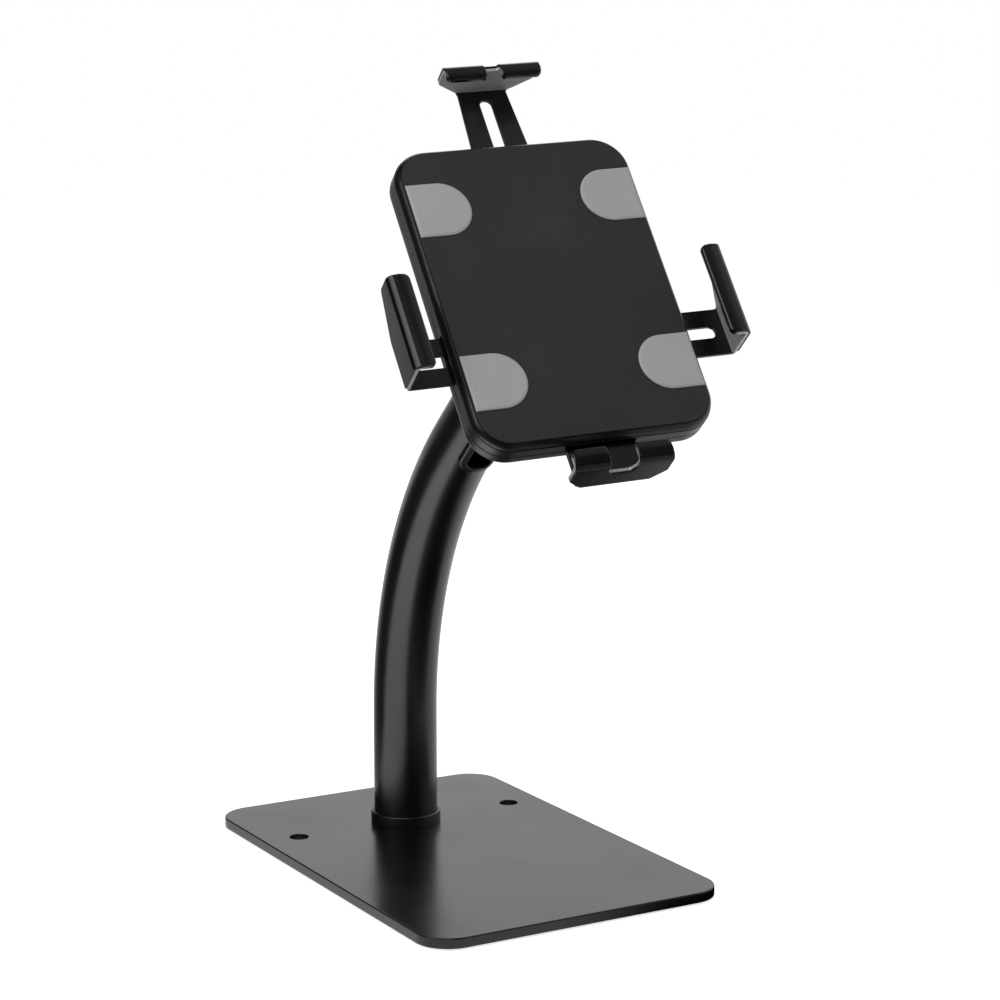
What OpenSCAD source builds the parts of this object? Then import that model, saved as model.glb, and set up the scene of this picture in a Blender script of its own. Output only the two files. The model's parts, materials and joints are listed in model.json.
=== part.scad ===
// Anti-theft tablet desk stand. Millimetres, +Z up.
// The origin lies on the desk, under the axis of the upright end of the pole. The tablet side faces -Y.
// The head is drawn in its own frame: +X to the right and +Y to the top of the tablet, seen from the
// front, +Z towards the user, and Z = 0 on the faces of the four grip pads.

/* [Base] */
// Width of the steel base plate
base_w = 188; // [168:1:260]
// Reach of the base plate in front of the pole axis
base_front = 207; // [170:1:260]
// Reach of the base plate behind the pole axis
base_back = 73; // [50:1:110]
// Thickness of the base plate
base_t = 6; // [4:0.5:10]
// Corner radius of the base plate
base_r = 20; // [10:1:40]
// Rounding of the upper edge of the base plate
base_edge = 0.8; // [0.4:0.1:1.5]
// Thickness of the anti-slip sheet under the base plate
sheet_t = 1; // [0.6:0.1:3]
// Distance from the edge of the base plate to the anti-slip sheet
sheet_inset = 4; // [2:1:12]
// Diameter of the two holes for bolting the base to a desk
desk_hole_d = 11; // [7:0.5:14]
// Distance between the two desk holes
desk_hole_span = 144; // [90:1:150]

/* [Pole] */
// Outer diameter of the pole tube
pole_d = 38; // [34:1:44]
// Wall of the pole tube
pole_wall = 2; // [1.5:0.25:3]
// Height of the straight foot of the pole above the base plate
pole_rise = 68; // [60:1:140]
// Radius of the bend at the centre line of the tube
bend_r = 243; // [160:1:320]
// Angle of the bend
bend_a = 46.4; // [30:0.1:60]
// Length of the straight upper end of the pole
pole_end = 71; // [64:1:110]
// Outer diameter of the foot collar beyond the tube
collar_over = 4; // [3:0.5:8]
// Height of the foot collar
collar_h = 7; // [4:0.5:14]

/* [Cable outlets] */
// Width of the opening of a cable outlet
outlet_w = 16; // [10:1:18]
// Length of the opening of a cable outlet
outlet_l = 30; // [22:1:34]
// Corner radius of the opening of a cable outlet
outlet_r = 5; // [3:0.5:5]
// Width of the rim round the opening
outlet_rim = 4; // [3:0.5:5]
// Height of the rim over the tube
outlet_proud = 2.2; // [1:0.2:3]
// Distance from the end of the bend to the middle of the upper outlet
outlet_up = 14; // [13:1:20]
// Height of the middle of the lower outlet above the base plate
outlet_low = 40; // [38:1:46]

/* [Ball joint] */
// Diameter of the ball
ball_d = 30; // [26:1:32]
// Diameter of the neck under the ball
neck_d = 12; // [8:1:12]
// Distance from the pole's end fitting to the centre of the ball
ball_up = 21; // [21:1:28]
// Distance from the centre of the ball to the back of the case
ball_back = 30.8; // [28:0.2:40]
// Thickness of the plastic liner round the ball
liner_t = 1.5; // [1:0.1:2]
// Outer diameter of the socket housing
socket_d = 44; // [43:1:45]
// Swivel of the head on the ball at rest
head_swivel = -7.8; // [-18:0.1:18]
// Tilt of the head on the ball at rest
head_tilt = 5.4; // [-18:0.1:18]
// Turn of the head round its own axis at rest
head_turn = -2.8; // [-10:0.1:10]

/* [Case] */
// Width of the case
case_w = 136.5; // [130:0.5:150]
// Height of the case
case_h = 184.5; // [180:0.5:210]
// Thickness of the case from its front face to its back
case_t = 19.5; // [18.5:0.5:26]
// Corner radius of the case
case_r = 20; // [16:1:24]
// Wall of the two covers
case_wall = 2.2; // [1.6:0.2:3]
// Rounding of the front edge of the case
bezel_r = 5; // [4:0.5:5]
// Rounding of the back edge of the case
back_edge = 4.5; // [2:0.5:5]
// Width of the smooth frame round the front panel
bezel_w = 2.4; // [2:0.2:4]
// Thickness of the front panel
panel_t = 1.5; // [1:0.1:1.8]
// Thickness of the steel carrier plate inside the case
carrier_t = 2; // [1.5:0.5:2.5]
// Diameter of the raised hub on the back of the case
hub_d = 84; // [82:1:90]
// Height of the raised hub
hub_h = 5; // [5:0.5:7]

/* [Grip pads] */
// Thickness of a grip pad
pad_t = 1.2; // [0.8:0.1:2]
// Width of a grip pad
pad_w = 32.8; // [26:0.1:40]
// Height of a grip pad
pad_h = 32.7; // [24:0.1:36]
// Distance from the side of the case to the outer edge of a pad
pad_in = 3.15; // [3.15:0.05:8]
// Distance from the top or bottom of the case to the middle of a pad
pad_down = 39.25; // [34:0.25:50]

/* [Brackets] */
// Thickness of the bracket steel
steel_t = 1.8; // [1.2:0.1:2]
// Clear distance from the grip pads to the lips that hold the tablet
lip_gap = 9.5; // [5:0.5:12]
// Thickness of the soft sleeves on the brackets
sleeve_t = 1.2; // [0.8:0.1:2]
// Length of every bracket's lip along the tablet's edge
lip_l = 55.5; // [50:0.5:70]
// Distance from the top of the case to the inside of the top bracket
top_out = 40.5; // [37:0.25:44]
// Distance from the bottom of the case to the inside of the bottom bracket
bottom_out = 20.5; // [12:0.25:28]
// Distance from the side of the case to the inside of a side bracket
side_out = 24.5; // [22:0.25:28]
// How far the top lip reaches over the tablet
top_lip = 9; // [6:0.5:14]
// How far the bottom lip reaches over the tablet
bottom_lip = 10.5; // [7:0.5:16]
// How far a side lip reaches over the tablet
side_lip = 11; // [7:0.5:16]
// Rounding of the free corners of the lips
lip_r = 4; // [2:0.5:5]
// Width of the top arm where it leaves the case
top_arm_w = 33.4; // [30:0.2:36]
// Width of the top arm at its bend
top_bend_w = 28.4; // [24:0.2:30]
// Width of the bottom arm
bottom_arm_w = 39.6; // [34:0.2:44]
// Width of the side arms
side_arm_w = 28; // [24:0.5:30]
// Distance of the middle of the side arms below the middle of the head
side_arm_drop = 33.4; // [30:0.2:34]
// Width of the slots in the arms
slot_w = 7; // [6.2:0.1:8]
// Diameter of the key lock's barrel
lock_d = 17; // [15:0.5:19]

/* [Hidden] */
$fn = 64;

// Clearances and joints between pieces
fit = 0.1;             // a screw or shank in its hole
run = 0.3;             // between pieces that turn or slide past each other
seam = 0.4;            // the visible joint line between the covers and round the panel
eps = 1;               // overrun of a cutting tool
lap = 0.2;             // overlap of the pole's straight end with the end of the bend
hair = 0.02;           // the straight end is this much wider, so that the two runs join cleanly

// Heights of the stand
plate_z = sheet_t;
foot_z = plate_z + base_t;
bend_z = foot_z + pole_rise;
fitting_t = 3;
fitting_in = 22;
ball_z = pole_end + fitting_t + ball_up;
bore_r = pole_d / 2 - pole_wall;

// Screws
foot_screw_d = 6;
foot_screw_ring = 9.5;
foot_screws_n = 3;
foot_h = 14;
fitting_screw_d = 5;

// Depths in the head frame, all below Z = 0 on the pads
front_z = -pad_t;
floor_z = front_z - panel_t;
cover_floor = 2;
cover_in_z = floor_z - cover_floor;
arm_depth = 8.9;
arm_top_z = front_z - arm_depth;
arm_z = arm_top_z - steel_t;
carrier_z = arm_z - 0.2;
part_z = carrier_z;
carrier_back_z = carrier_z - carrier_t;
back_z = front_z - case_t;
back_floor = 2;
back_in_z = back_z + back_floor;
hub_z = back_z - hub_h;
hub_wall = 2;
hub_edge = 2;
bezel_depth = 5.3;
step_z = front_z - bezel_depth;
step_in = 0.3;
ball_off = ball_back - back_z;

// Ball joint, measured from the centre of the ball towards the case
ball_r = ball_d / 2;
liner_r0 = ball_r + run;
liner_r1 = liner_r0 + liner_t;
liner_low = 8;
liner_high = 11;
cavity_r = liner_r1 + run;
spigot_r = cavity_r + 2.7;
spigot_h = 6;
ring_back = -9;
ring_r = socket_d / 2 + 2;
flange_r = socket_d / 2 + 6;
washer_t = 1;
flange_t = 3;
flange_front = carrier_back_z - fit - washer_t - fit;
flange_back = flange_front - flange_t;
pivot_r = 9.8;
retainer_t = 3;
retainer_rim = 10;
retainer_r = flange_r + retainer_rim;
retainer_screw_d = 3;
retainer_screw_out = 5.4;

// Brackets
steel_bend = 1;
sleeve_gap = 0.05;

// Places in the head
pad_x = case_w / 2 - pad_in;
pad_y = case_h / 2 - pad_down;
top_reach = case_h / 2 + top_out;
bottom_reach = case_h / 2 + bottom_out;
side_reach = case_w / 2 + side_out;
boss_in_x = 13.5;
boss_in_y = 15.5;
boss_x = case_w / 2 - boss_in_x;
boss_y = case_h / 2 - boss_in_y;
boss_d = 8;
case_screw_d = 3;
clamp_d = 6;
clamp_in = 11.75;
clamp_x = case_w / 2 - clamp_in;
clamp_head_d = 10.5;
clamp_head_h = 3.3;
access_d = 12;
nut_w = 13;
nut_h = 3;
stud_in = 16;
stud_y = case_h / 2 - stud_in;
side_slot_end = 5.9;
side_slot_out = side_reach - side_slot_end;
side_slot_in = clamp_x - slot_w / 2;
side_arm_tail = 16;
side_arm_in = side_slot_in - side_arm_tail;
top_slot_end = 6.35;
top_slot_out = top_reach - top_slot_end;
top_slot_in = stud_y - slot_w / 2;
top_arm_tail = 30;
top_arm_in = top_slot_in - top_arm_tail;
bottom_arm_tail = 32.25;
bottom_arm_in = case_h / 2 - bottom_arm_tail;
bottom_screw_x = 10;
bottom_screw_d = 4;
bottom_screw_in = 16;
bottom_screw_y = -case_h / 2 + bottom_screw_in;
lock_cam_r = 9;
lock_throw = 1.2;
lock_rim = 2;
lock_space = 5.2;
plug_d = lock_d - 5;
plug_shaft_d = 6;
keyway_w = 1.4;
keyway_l = 7;
keyway_h = 6;
lock_x = top_arm_w / 2 + lock_cam_r + lock_throw + run;
lock_ring = retainer_r + lock_d / 2 + lock_rim + lock_space;
lock_y = sqrt(lock_ring * lock_ring - lock_x * lock_x);
pin_d = 4;
side_pins_in = 20;
side_pins_out = 5;
top_pins_out = 8;
rail_t = 2;
rail_gap = 4;
side_rail_y = 10.5;
top_rail_x = 11.5;
bottom_rail_x = 17;
flare_z = -1.4;
mouth_up = 3;
top_notch = 5;
bottom_notch = 6;
bottom_notch_top = 8.5;
bottom_notch_z = 1.5;

// Colours as the photo shows them
steel_black = "#3a3b3c";
satin_black = "#1b1c1d";
shell_grey = "#343536";
panel_grey = "#333533";
pad_grey = "#969696";
sleeve_black = "#222323";
bare_steel = "#8f9193";
nylon_white = "#d8d6cf";

// Frames
module at_bend_end() {
    translate([0, -bend_r * (1 - cos(bend_a)), bend_z + bend_r * sin(bend_a)])
        rotate([bend_a, 0, 0]) children();
}

// Centre of the ball, with +Z along the axis of the head
module at_ball() {
    at_bend_end() translate([0, 0, ball_z])
        rotate([0, head_swivel, 0]) rotate([head_tilt, 0, 0]) rotate([0, 0, head_turn]) children();
}

module in_head() {
    at_ball() translate([0, 0, ball_off]) children();
}

// Flat shapes
module rounded_rect(w, h, r) {
    square([w - 2 * r, h], center = true);
    square([w, h - 2 * r], center = true);
    for (x = [-1, 1], y = [-1, 1]) translate([x * (w / 2 - r), y * (h / 2 - r)]) circle(r);
}

module slot_2d(a, b, w) {
    translate([a, -w / 2]) square([b - a, w]);
    for (x = [a, b]) translate([x, 0]) circle(w / 2);
}

module quarter(r) {
    intersection() {
        circle(r);
        square(r);
    }
}

// Slab from z = 0 to h whose upper edge is rounded all round
module eased_slab(w, l, r, h, edge) {
    linear_extrude(h - edge) rounded_rect(w, l, r);
    linear_extrude(h) rounded_rect(w - 2 * edge, l - 2 * edge, r - edge);
    translate([0, 0, h - edge]) {
        for (x = [0, 1], y = [0, 1]) mirror([x, 0, 0]) mirror([0, y, 0])
            translate([w / 2 - r, l / 2 - r, 0])
                rotate_extrude(angle = 90) translate([r - edge, 0]) quarter(edge);
        for (x = [0, 1]) mirror([x, 0, 0]) translate([w / 2 - edge, l / 2 - r, 0])
            rotate([90, 0, 0]) linear_extrude(l - 2 * r) quarter(edge);
        for (y = [0, 1]) mirror([0, y, 0]) translate([-w / 2 + r, l / 2 - edge, 0])
            rotate([90, 0, 90]) linear_extrude(w - 2 * r) quarter(edge);
    }
}

module disc(d, z0, z1) {
    translate([0, 0, z0]) cylinder(d = d, h = z1 - z0);
}

// Base
module desk_holes(d) {
    for (x = [-1, 1]) translate([x * desk_hole_span / 2, 0, -eps]) cylinder(d = d, h = base_t + 4 * eps);
}

module round_foot_screws() {
    for (i = [0 : foot_screws_n - 1]) rotate([0, 0, 90 + i * 360 / foot_screws_n])
        translate([foot_screw_ring, 0, 0]) children();
}

module base_plate() {
    color(steel_black) translate([0, 0, plate_z]) difference() {
        translate([0, (base_back - base_front) / 2, 0])
            eased_slab(base_w, base_front + base_back, base_r, base_t, base_edge);
        desk_holes(desk_hole_d);
        round_foot_screws() {
            translate([0, 0, -eps]) cylinder(d = foot_screw_d + 2 * fit, h = base_t + 2 * eps);
            cylinder(r1 = foot_screw_d + fit, r2 = foot_screw_d / 2 + fit, h = foot_screw_d / 2);
        }
    }
}

module base_sheet() {
    color(satin_black) difference() {
        translate([0, (base_back - base_front) / 2, 0]) linear_extrude(sheet_t)
            rounded_rect(base_w - 2 * sheet_inset, base_front + base_back - 2 * sheet_inset,
                base_r - sheet_inset / 2);
        desk_holes(desk_hole_d + 3);
    }
}

module foot_screws() {
    color(bare_steel) round_foot_screws() translate([0, 0, plate_z]) {
        translate([0, 0, 0.4]) cylinder(r1 = foot_screw_d - 0.4, r2 = foot_screw_d / 2,
            h = foot_screw_d / 2 - 0.4);
        translate([0, 0, 0.4]) cylinder(d = foot_screw_d, h = base_t + foot_h - 3);
    }
}

module pole_foot() {
    color(bare_steel) translate([0, 0, foot_z]) difference() {
        cylinder(r = bore_r - fit, h = foot_h);
        round_foot_screws() translate([0, 0, -eps])
            cylinder(d = foot_screw_d + 2 * fit, h = foot_h + 2 * eps);
    }
}

module pole_collar() {
    r_in = pole_d / 2 + fit;
    w = collar_over / 2 - fit;
    color(satin_black) translate([0, 0, foot_z]) rotate_extrude() difference() {
        translate([r_in, 0]) square([w, collar_h]);
        translate([r_in + w - 0.8, collar_h - 0.8]) difference() {
            square(eps);
            circle(0.8);
        }
    }
}

// Pole
module pole_run(r, over = 0) {
    translate([0, 0, foot_z - over]) cylinder(r = r, h = pole_rise + over);
    translate([0, -bend_r, bend_z]) rotate([90, 0, 90])
        rotate_extrude(angle = bend_a) translate([bend_r, 0]) circle(r);
    at_bend_end() translate([0, 0, -lap]) cylinder(r = r + hair, h = pole_end + over + lap);
}

// The opening of an outlet, cut straight through the front of the tube that points to +X here
module outlet_window(w, l, r) {
    rotate([0, 90, 0]) linear_extrude(pole_d) rounded_rect(l, w, r);
}

module at_upper_outlet() {
    at_bend_end() translate([0, 0, outlet_up]) rotate([0, 0, -90]) children();
}

module at_lower_outlet() {
    translate([0, 0, foot_z + outlet_low]) rotate([0, 0, 90]) children();
}

module fitting_screw_places() {
    at_bend_end() translate([0, 0, pole_end - fitting_in / 2]) for (s = [0, 180])
        rotate([0, 0, s]) rotate([0, 90, 0]) children();
}

module pole() {
    color(satin_black) difference() {
        pole_run(pole_d / 2);
        pole_run(bore_r, eps);
        at_upper_outlet() outlet_window(outlet_w + 2, outlet_l + 2, outlet_r + 1);
        at_lower_outlet() outlet_window(outlet_w + 2, outlet_l + 2, outlet_r + 1);
        fitting_screw_places() translate([0, 0, bore_r - eps])
            cylinder(d = fitting_screw_d + 2 * fit, h = pole_wall + 2 * eps);
    }
}

module grommet() {
    lift = 0.15;
    color(sleeve_black) difference() {
        union() {
            intersection() {
                translate([0, 0, -pole_d]) cylinder(r = pole_d / 2 + outlet_proud, h = 2 * pole_d);
                outlet_window(outlet_w + 2 * outlet_rim, outlet_l + 2 * outlet_rim, outlet_r + outlet_rim);
            }
        }
        difference() {
            translate([0, 0, -pole_d]) cylinder(r = pole_d / 2 + lift, h = 2 * pole_d);
            outlet_window(outlet_w + 2 - 2 * fit, outlet_l + 2 - 2 * fit, outlet_r + 1 - fit);
        }
        translate([0, 0, -pole_d]) cylinder(r = bore_r, h = 2 * pole_d);
        outlet_window(outlet_w, outlet_l, outlet_r);
    }
}

module upper_grommet() {
    at_upper_outlet() grommet();
}

module lower_grommet() {
    at_lower_outlet() grommet();
}

module end_fitting() {
    color(bare_steel) difference() {
        at_bend_end() difference() {
            union() {
                disc(2 * (bore_r - fit), pole_end - fitting_in, pole_end + eps);
                disc(pole_d, pole_end, pole_end + fitting_t);
            }
            disc(neck_d - 2 + 2 * fit, pole_end - fitting_in - eps, pole_end + fitting_t + eps);
        }
        fitting_screw_places() cylinder(d = fitting_screw_d + 2 * fit, h = pole_d);
    }
}

module fitting_screws() {
    color(bare_steel) fitting_screw_places() translate([0, 0, neck_d / 2 + 2])
        cylinder(d = fitting_screw_d, h = pole_d / 2 - neck_d / 2 - 2.4);
}

module ball_stud() {
    color(bare_steel) at_bend_end() translate([0, 0, ball_z]) {
        sphere(r = ball_r);
        translate([0, 0, -ball_up]) cylinder(d = neck_d, h = ball_up);
        translate([0, 0, -ball_up - fitting_t - fitting_in + 2])
            cylinder(d = neck_d - 2, h = fitting_t + fitting_in);
    }
}

// Ball joint
module ball_liner() {
    color(nylon_white) at_ball() rotate_extrude() intersection() {
        difference() {
            circle(liner_r1);
            circle(liner_r0);
        }
        translate([0, -liner_low]) square([cavity_r, liner_low + liner_high]);
    }
}

module socket_housing() {
    color(satin_black) at_ball() difference() {
        union() {
            cylinder(r = spigot_r, h = spigot_h + eps);
            disc(socket_d, spigot_h, ball_off + flange_back + eps);
            disc(2 * flange_r, ball_off + flange_back, ball_off + flange_front);
            disc(2 * pivot_r, ball_off + flange_front - eps, ball_off + carrier_z - run);
        }
        sphere(r = cavity_r);
        cylinder(r = pivot_r - 3, h = ball_off);
    }
}

module clamp_ring() {
    grips = 24;
    seat = spigot_h - 0.5;
    color(steel_black) at_ball() difference() {
        disc(2 * ring_r, ring_back, seat);
        sphere(r = cavity_r);
        cylinder(r = spigot_r + fit, h = seat + eps);
        translate([0, 0, ring_back - eps]) cylinder(r = cavity_r * 0.8, h = eps + 0.5);
        for (i = [0 : grips - 1]) rotate([0, 0, i * 360 / grips])
            translate([ring_r + 0.4, 0, ring_back - eps]) cylinder(r = 1.1, h = seat - ring_back + 2 * eps);
        rotate([0, 0, 360 / grips / 2]) translate([0, 0, spigot_h / 2]) rotate([0, 90, 0])
            cylinder(d = 3 + 2 * fit, h = 2 * ring_r);
    }
}

module ring_screw() {
    color(bare_steel) at_ball() rotate([0, 0, 7.5]) translate([0, 0, spigot_h / 2]) rotate([0, 90, 0])
        translate([0, 0, spigot_r + fit]) cylinder(d = 3, h = ring_r - spigot_r - 0.5);
}

// Turntable in the back of the case
module turn_washer() {
    color(nylon_white) in_head() difference() {
        disc(2 * flange_r, carrier_back_z - fit - washer_t, carrier_back_z - fit);
        disc(2 * pivot_r + 2, carrier_back_z - washer_t - eps, carrier_back_z + eps);
    }
}

module round_retainer_screws() {
    for (a = [45 : 90 : 315]) rotate([0, 0, a]) translate([flange_r + retainer_screw_out, 0, 0])
        children();
}

module turn_retainer() {
    lip_z = flange_back - run;
    color(bare_steel) in_head() difference() {
        disc(2 * retainer_r, lip_z - retainer_t, carrier_back_z);
        disc(2 * (flange_r + 2 * run), lip_z, carrier_back_z + eps);
        disc(socket_d + 2, lip_z - retainer_t - eps, lip_z + eps);
        round_retainer_screws() {
            disc(retainer_screw_d + 2 * fit, lip_z - retainer_t - eps, carrier_back_z + eps);
            disc(2 * retainer_screw_d + 2 * fit, lip_z - retainer_t - eps, lip_z - retainer_t + 2);
        }
    }
}

module retainer_screws() {
    head_z = flange_back - run - retainer_t;
    color(bare_steel) in_head() round_retainer_screws() {
        disc(2 * retainer_screw_d, head_z + 2 * fit, head_z + 2);
        disc(retainer_screw_d, head_z + 1, carrier_z - fit);
    }
}

// Carrier plate and what it holds
module at_bosses() {
    for (x = [-1, 1], y = [-1, 1]) translate([x * boss_x, y * boss_y, 0]) children();
}

module at_clamps() {
    for (x = [-1, 1]) translate([x * clamp_x, -side_arm_drop, 0]) children();
}

module at_bottom_screws() {
    for (x = [-1, 1]) translate([x * bottom_screw_x, bottom_screw_y, 0]) children();
}

module carrier_plate() {
    inset = case_wall + 0.6;
    color(bare_steel) in_head() difference() {
        translate([0, 0, carrier_back_z]) linear_extrude(carrier_t)
            rounded_rect(case_w - 2 * inset, case_h - 2 * inset, case_r - inset);
        disc(2 * pivot_r + 2 * run, carrier_back_z - eps, carrier_z + eps);
        at_bosses() disc(case_screw_d + 4 * fit, carrier_back_z - eps, carrier_z + eps);
        at_clamps() disc(clamp_d + 2 * fit, carrier_back_z - eps, carrier_z + eps);
        at_bottom_screws() disc(bottom_screw_d + 2 * fit, carrier_back_z - eps, carrier_z + eps);
        round_retainer_screws() disc(retainer_screw_d + 2 * fit, carrier_back_z - eps, carrier_z + eps);
        translate([lock_x, lock_y, 0]) disc(lock_d + 2 * fit, carrier_back_z - eps, carrier_z + eps);
    }
}

module guide_pins() {
    side_gap = side_arm_w / 2 + run + pin_d / 2;
    top_gap = top_arm_w / 2 + run + pin_d / 2;
    color(nylon_white) in_head() {
        for (x = [-1, 1], d = [-1, 1], u = [clamp_x - side_pins_in, clamp_x + side_pins_out])
            translate([x * u, -side_arm_drop + d * side_gap, 0]) disc(pin_d, carrier_z, arm_top_z);
        for (x = [-1, 1], y = [stud_y + top_pins_out, lock_y + lock_cam_r + pin_d / 2 + eps])
            translate([x * top_gap, y, 0]) disc(pin_d, carrier_z, arm_top_z);
    }
}

module top_guide_stud() {
    color(bare_steel) in_head() translate([0, stud_y, 0]) {
        disc(slot_w - 2 * run, carrier_z, arm_top_z + 0.2);
        disc(slot_w + 5, arm_top_z + 0.2, arm_top_z + 2);
    }
}

module clamp_screws() {
    color(bare_steel) in_head() at_clamps() {
        disc(clamp_d, carrier_back_z - eps, arm_top_z + nut_h + eps);
        disc(clamp_head_d, carrier_back_z - clamp_head_h, carrier_back_z);
    }
}

module clamp_nuts() {
    color(bare_steel) in_head() at_clamps() difference() {
        translate([-nut_w / 2, -nut_w / 2, arm_top_z + fit]) cube([nut_w, nut_w, nut_h]);
        disc(clamp_d + 2 * fit, arm_top_z - eps, arm_top_z + nut_h + eps);
    }
}

// Case
module arm_mouth(w, z0) {
    translate([-w / 2 - run, 0, z0]) cube([w + 2 * run, case_h, arm_top_z + mouth_up - z0]);
}

module rail(length) {
    translate([0, -rail_t / 2, arm_top_z + run])
        cube([length, rail_t, cover_in_z - arm_top_z - run + eps / 2]);
}

module front_cover() {
    inner_r = case_r - case_wall;
    recess_r = case_r - bezel_w;
    color(shell_grey) in_head() {
        difference() {
            union() {
                translate([0, 0, part_z]) linear_extrude(step_z - part_z)
                    rounded_rect(case_w, case_h, case_r);
                translate([0, 0, step_z - eps])
                    eased_slab(case_w - 2 * step_in, case_h - 2 * step_in, case_r - step_in,
                        front_z - step_z + eps, bezel_r);
            }
            translate([0, 0, floor_z]) linear_extrude(panel_t + eps)
                rounded_rect(case_w - 2 * bezel_w, case_h - 2 * bezel_w, recess_r);
            translate([0, 0, part_z - eps]) linear_extrude(cover_in_z - part_z + eps)
                rounded_rect(case_w - 2 * case_wall, case_h - 2 * case_wall, inner_r);
            arm_mouth(top_arm_w, part_z - eps);
            rotate([0, 0, 180]) arm_mouth(bottom_arm_w, part_z - eps);
            for (a = [90, -90]) translate([0, -side_arm_drop, 0]) rotate([0, 0, a])
                arm_mouth(side_arm_w, part_z - eps);
        }
        difference() {
            at_bosses() disc(boss_d, carrier_z, cover_in_z + eps / 2);
            at_bosses() disc(case_screw_d + 2 * fit, carrier_z - eps, cover_in_z);
        }
        for (x = [0, 1], d = [-1, 1]) mirror([x, 0, 0])
            translate([side_arm_in, -side_arm_drop + d * side_rail_y, 0])
                rail(case_w / 2 - side_arm_in - rail_gap);
        for (x = [-1, 1]) translate([x * top_rail_x, top_arm_in + rail_gap, 0]) rotate([0, 0, 90])
            rail(case_h / 2 - top_arm_in - 2 * rail_gap);
        for (x = [-1, 1]) translate([x * bottom_rail_x, -case_h / 2 + rail_gap, 0]) rotate([0, 0, 90])
            rail(case_h / 2 - bottom_arm_in - rail_gap);
    }
}

module back_cover() {
    inner_r = case_r - case_wall;
    color(shell_grey) in_head() difference() {
        union() {
            difference() {
                union() {
                    mirror([0, 0, 1]) translate([0, 0, seam - part_z])
                        eased_slab(case_w, case_h, case_r, part_z - seam - back_z, back_edge);
                    mirror([0, 0, 1]) translate([0, 0, -back_z - eps]) {
                        cylinder(d = hub_d, h = hub_h);
                        rotate_extrude() {
                            square([hub_d / 2 - hub_edge, hub_h + eps]);
                            translate([hub_d / 2 - hub_edge, hub_h + eps - hub_edge]) quarter(hub_edge);
                        }
                    }
                }
                translate([0, 0, back_in_z]) linear_extrude(part_z - back_in_z + eps)
                    rounded_rect(case_w - 2 * case_wall, case_h - 2 * case_wall, inner_r);
                disc(hub_d - 2 * hub_wall, hub_z + hub_wall, back_in_z + eps);
            }
            at_bosses() disc(boss_d, back_in_z - eps / 2, carrier_back_z);
        }
        disc(socket_d + 2, hub_z - eps, hub_z + hub_wall + eps);
        at_bosses() {
            disc(case_screw_d + 2 * fit, back_z - eps, carrier_back_z + eps);
            disc(6 + 2 * fit, back_z - eps, back_z + 2.4);
        }
        at_clamps() disc(access_d, back_z - eps, back_in_z + eps);
        translate([lock_x, lock_y, 0]) disc(lock_d + 2 * fit, back_z - eps, back_in_z + eps);
    }
}

module case_screws() {
    color(bare_steel) in_head() at_bosses() {
        disc(6, back_z + 0.4, back_z + 2.4);
        disc(case_screw_d, back_z + 2, cover_in_z - 1);
    }
}

module front_panel() {
    inset = bezel_w + seam;
    color(panel_grey) in_head() translate([0, 0, floor_z]) linear_extrude(panel_t)
        rounded_rect(case_w - 2 * inset, case_h - 2 * inset, case_r - inset);
}

// A pad is straight along the edge of the case and round towards the middle
module grip_pad(x, y) {
    color(pad_grey) in_head() translate([x * pad_x, y * pad_y, front_z]) mirror([x < 0 ? 0 : 1, 0, 0])
        linear_extrude(pad_t) {
            translate([0, -pad_h / 2]) square([pad_w - pad_h / 2, pad_h]);
            translate([pad_w - pad_h / 2, 0]) circle(d = pad_h);
        }
}

module top_left_pad() {
    grip_pad(-1, 1);
}

module top_right_pad() {
    grip_pad(1, 1);
}

module bottom_left_pad() {
    grip_pad(-1, -1);
}

module bottom_right_pad() {
    grip_pad(1, -1);
}

// Brackets, drawn with +X away from the middle of the head and Y along the tablet's edge.
// Rectangle from one corner to the other whose corner at the largest X and Y is round
module corner_block(x0, x1, y0, y1, r) {
    translate([x0, y0]) square([x1 - r - x0, y1 - y0]);
    translate([x0, y0]) square([x1 - x0, y1 - r - y0]);
    translate([x1 - r, y1 - r]) circle(r);
}

// Section of the steel: a flat arm, an upright flange at the reach and a lip turned back in
module steel_section(inner, reach, lip) {
    tip = reach + steel_t - lip + sleeve_t;
    mid = (arm_z + lip_gap) / 2;
    difference() {
        union() {
            corner_block(inner, reach + steel_t, mid, lip_gap + steel_t, steel_bend + steel_t);
            translate([0, 2 * mid]) mirror([0, 1])
                corner_block(inner, reach + steel_t, mid - eps, 2 * mid - arm_z, steel_bend + steel_t);
        }
        corner_block(inner - eps, reach, mid, lip_gap, steel_bend);
        translate([0, 2 * mid]) mirror([0, 1])
            corner_block(inner - eps, reach, mid - eps, 2 * mid - arm_top_z, steel_bend);
        translate([inner - eps, mid]) square([tip - inner + eps, lip_gap + 2 * steel_t - mid]);
    }
}

// Section of the sleeve: it covers the outside of the flange, the front of the lip and its tip
module sleeve_section(reach, lip) {
    out_x = reach + steel_t + sleeve_gap;
    top_z = lip_gap + steel_t + sleeve_gap;
    low_z = arm_top_z + steel_bend;
    tip = reach + steel_t - lip + sleeve_t - sleeve_gap;
    inside = steel_bend + steel_t + sleeve_gap;
    difference() {
        corner_block(tip - sleeve_t, out_x + sleeve_t, low_z, top_z + sleeve_t, inside + sleeve_t);
        corner_block(tip, out_x, low_z - eps, top_z, inside);
        translate([tip - sleeve_t - eps, low_z - eps]) square([sleeve_t + 2 * eps, lip_gap - low_z + eps]);
        translate([tip, top_z]) rotate(90) difference() {
            square(2 * sleeve_t);
            circle(sleeve_t);
        }
    }
}

module along_edge(l) {
    translate([0, l / 2, 0]) rotate([90, 0, 0]) linear_extrude(l) children();
}

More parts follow.
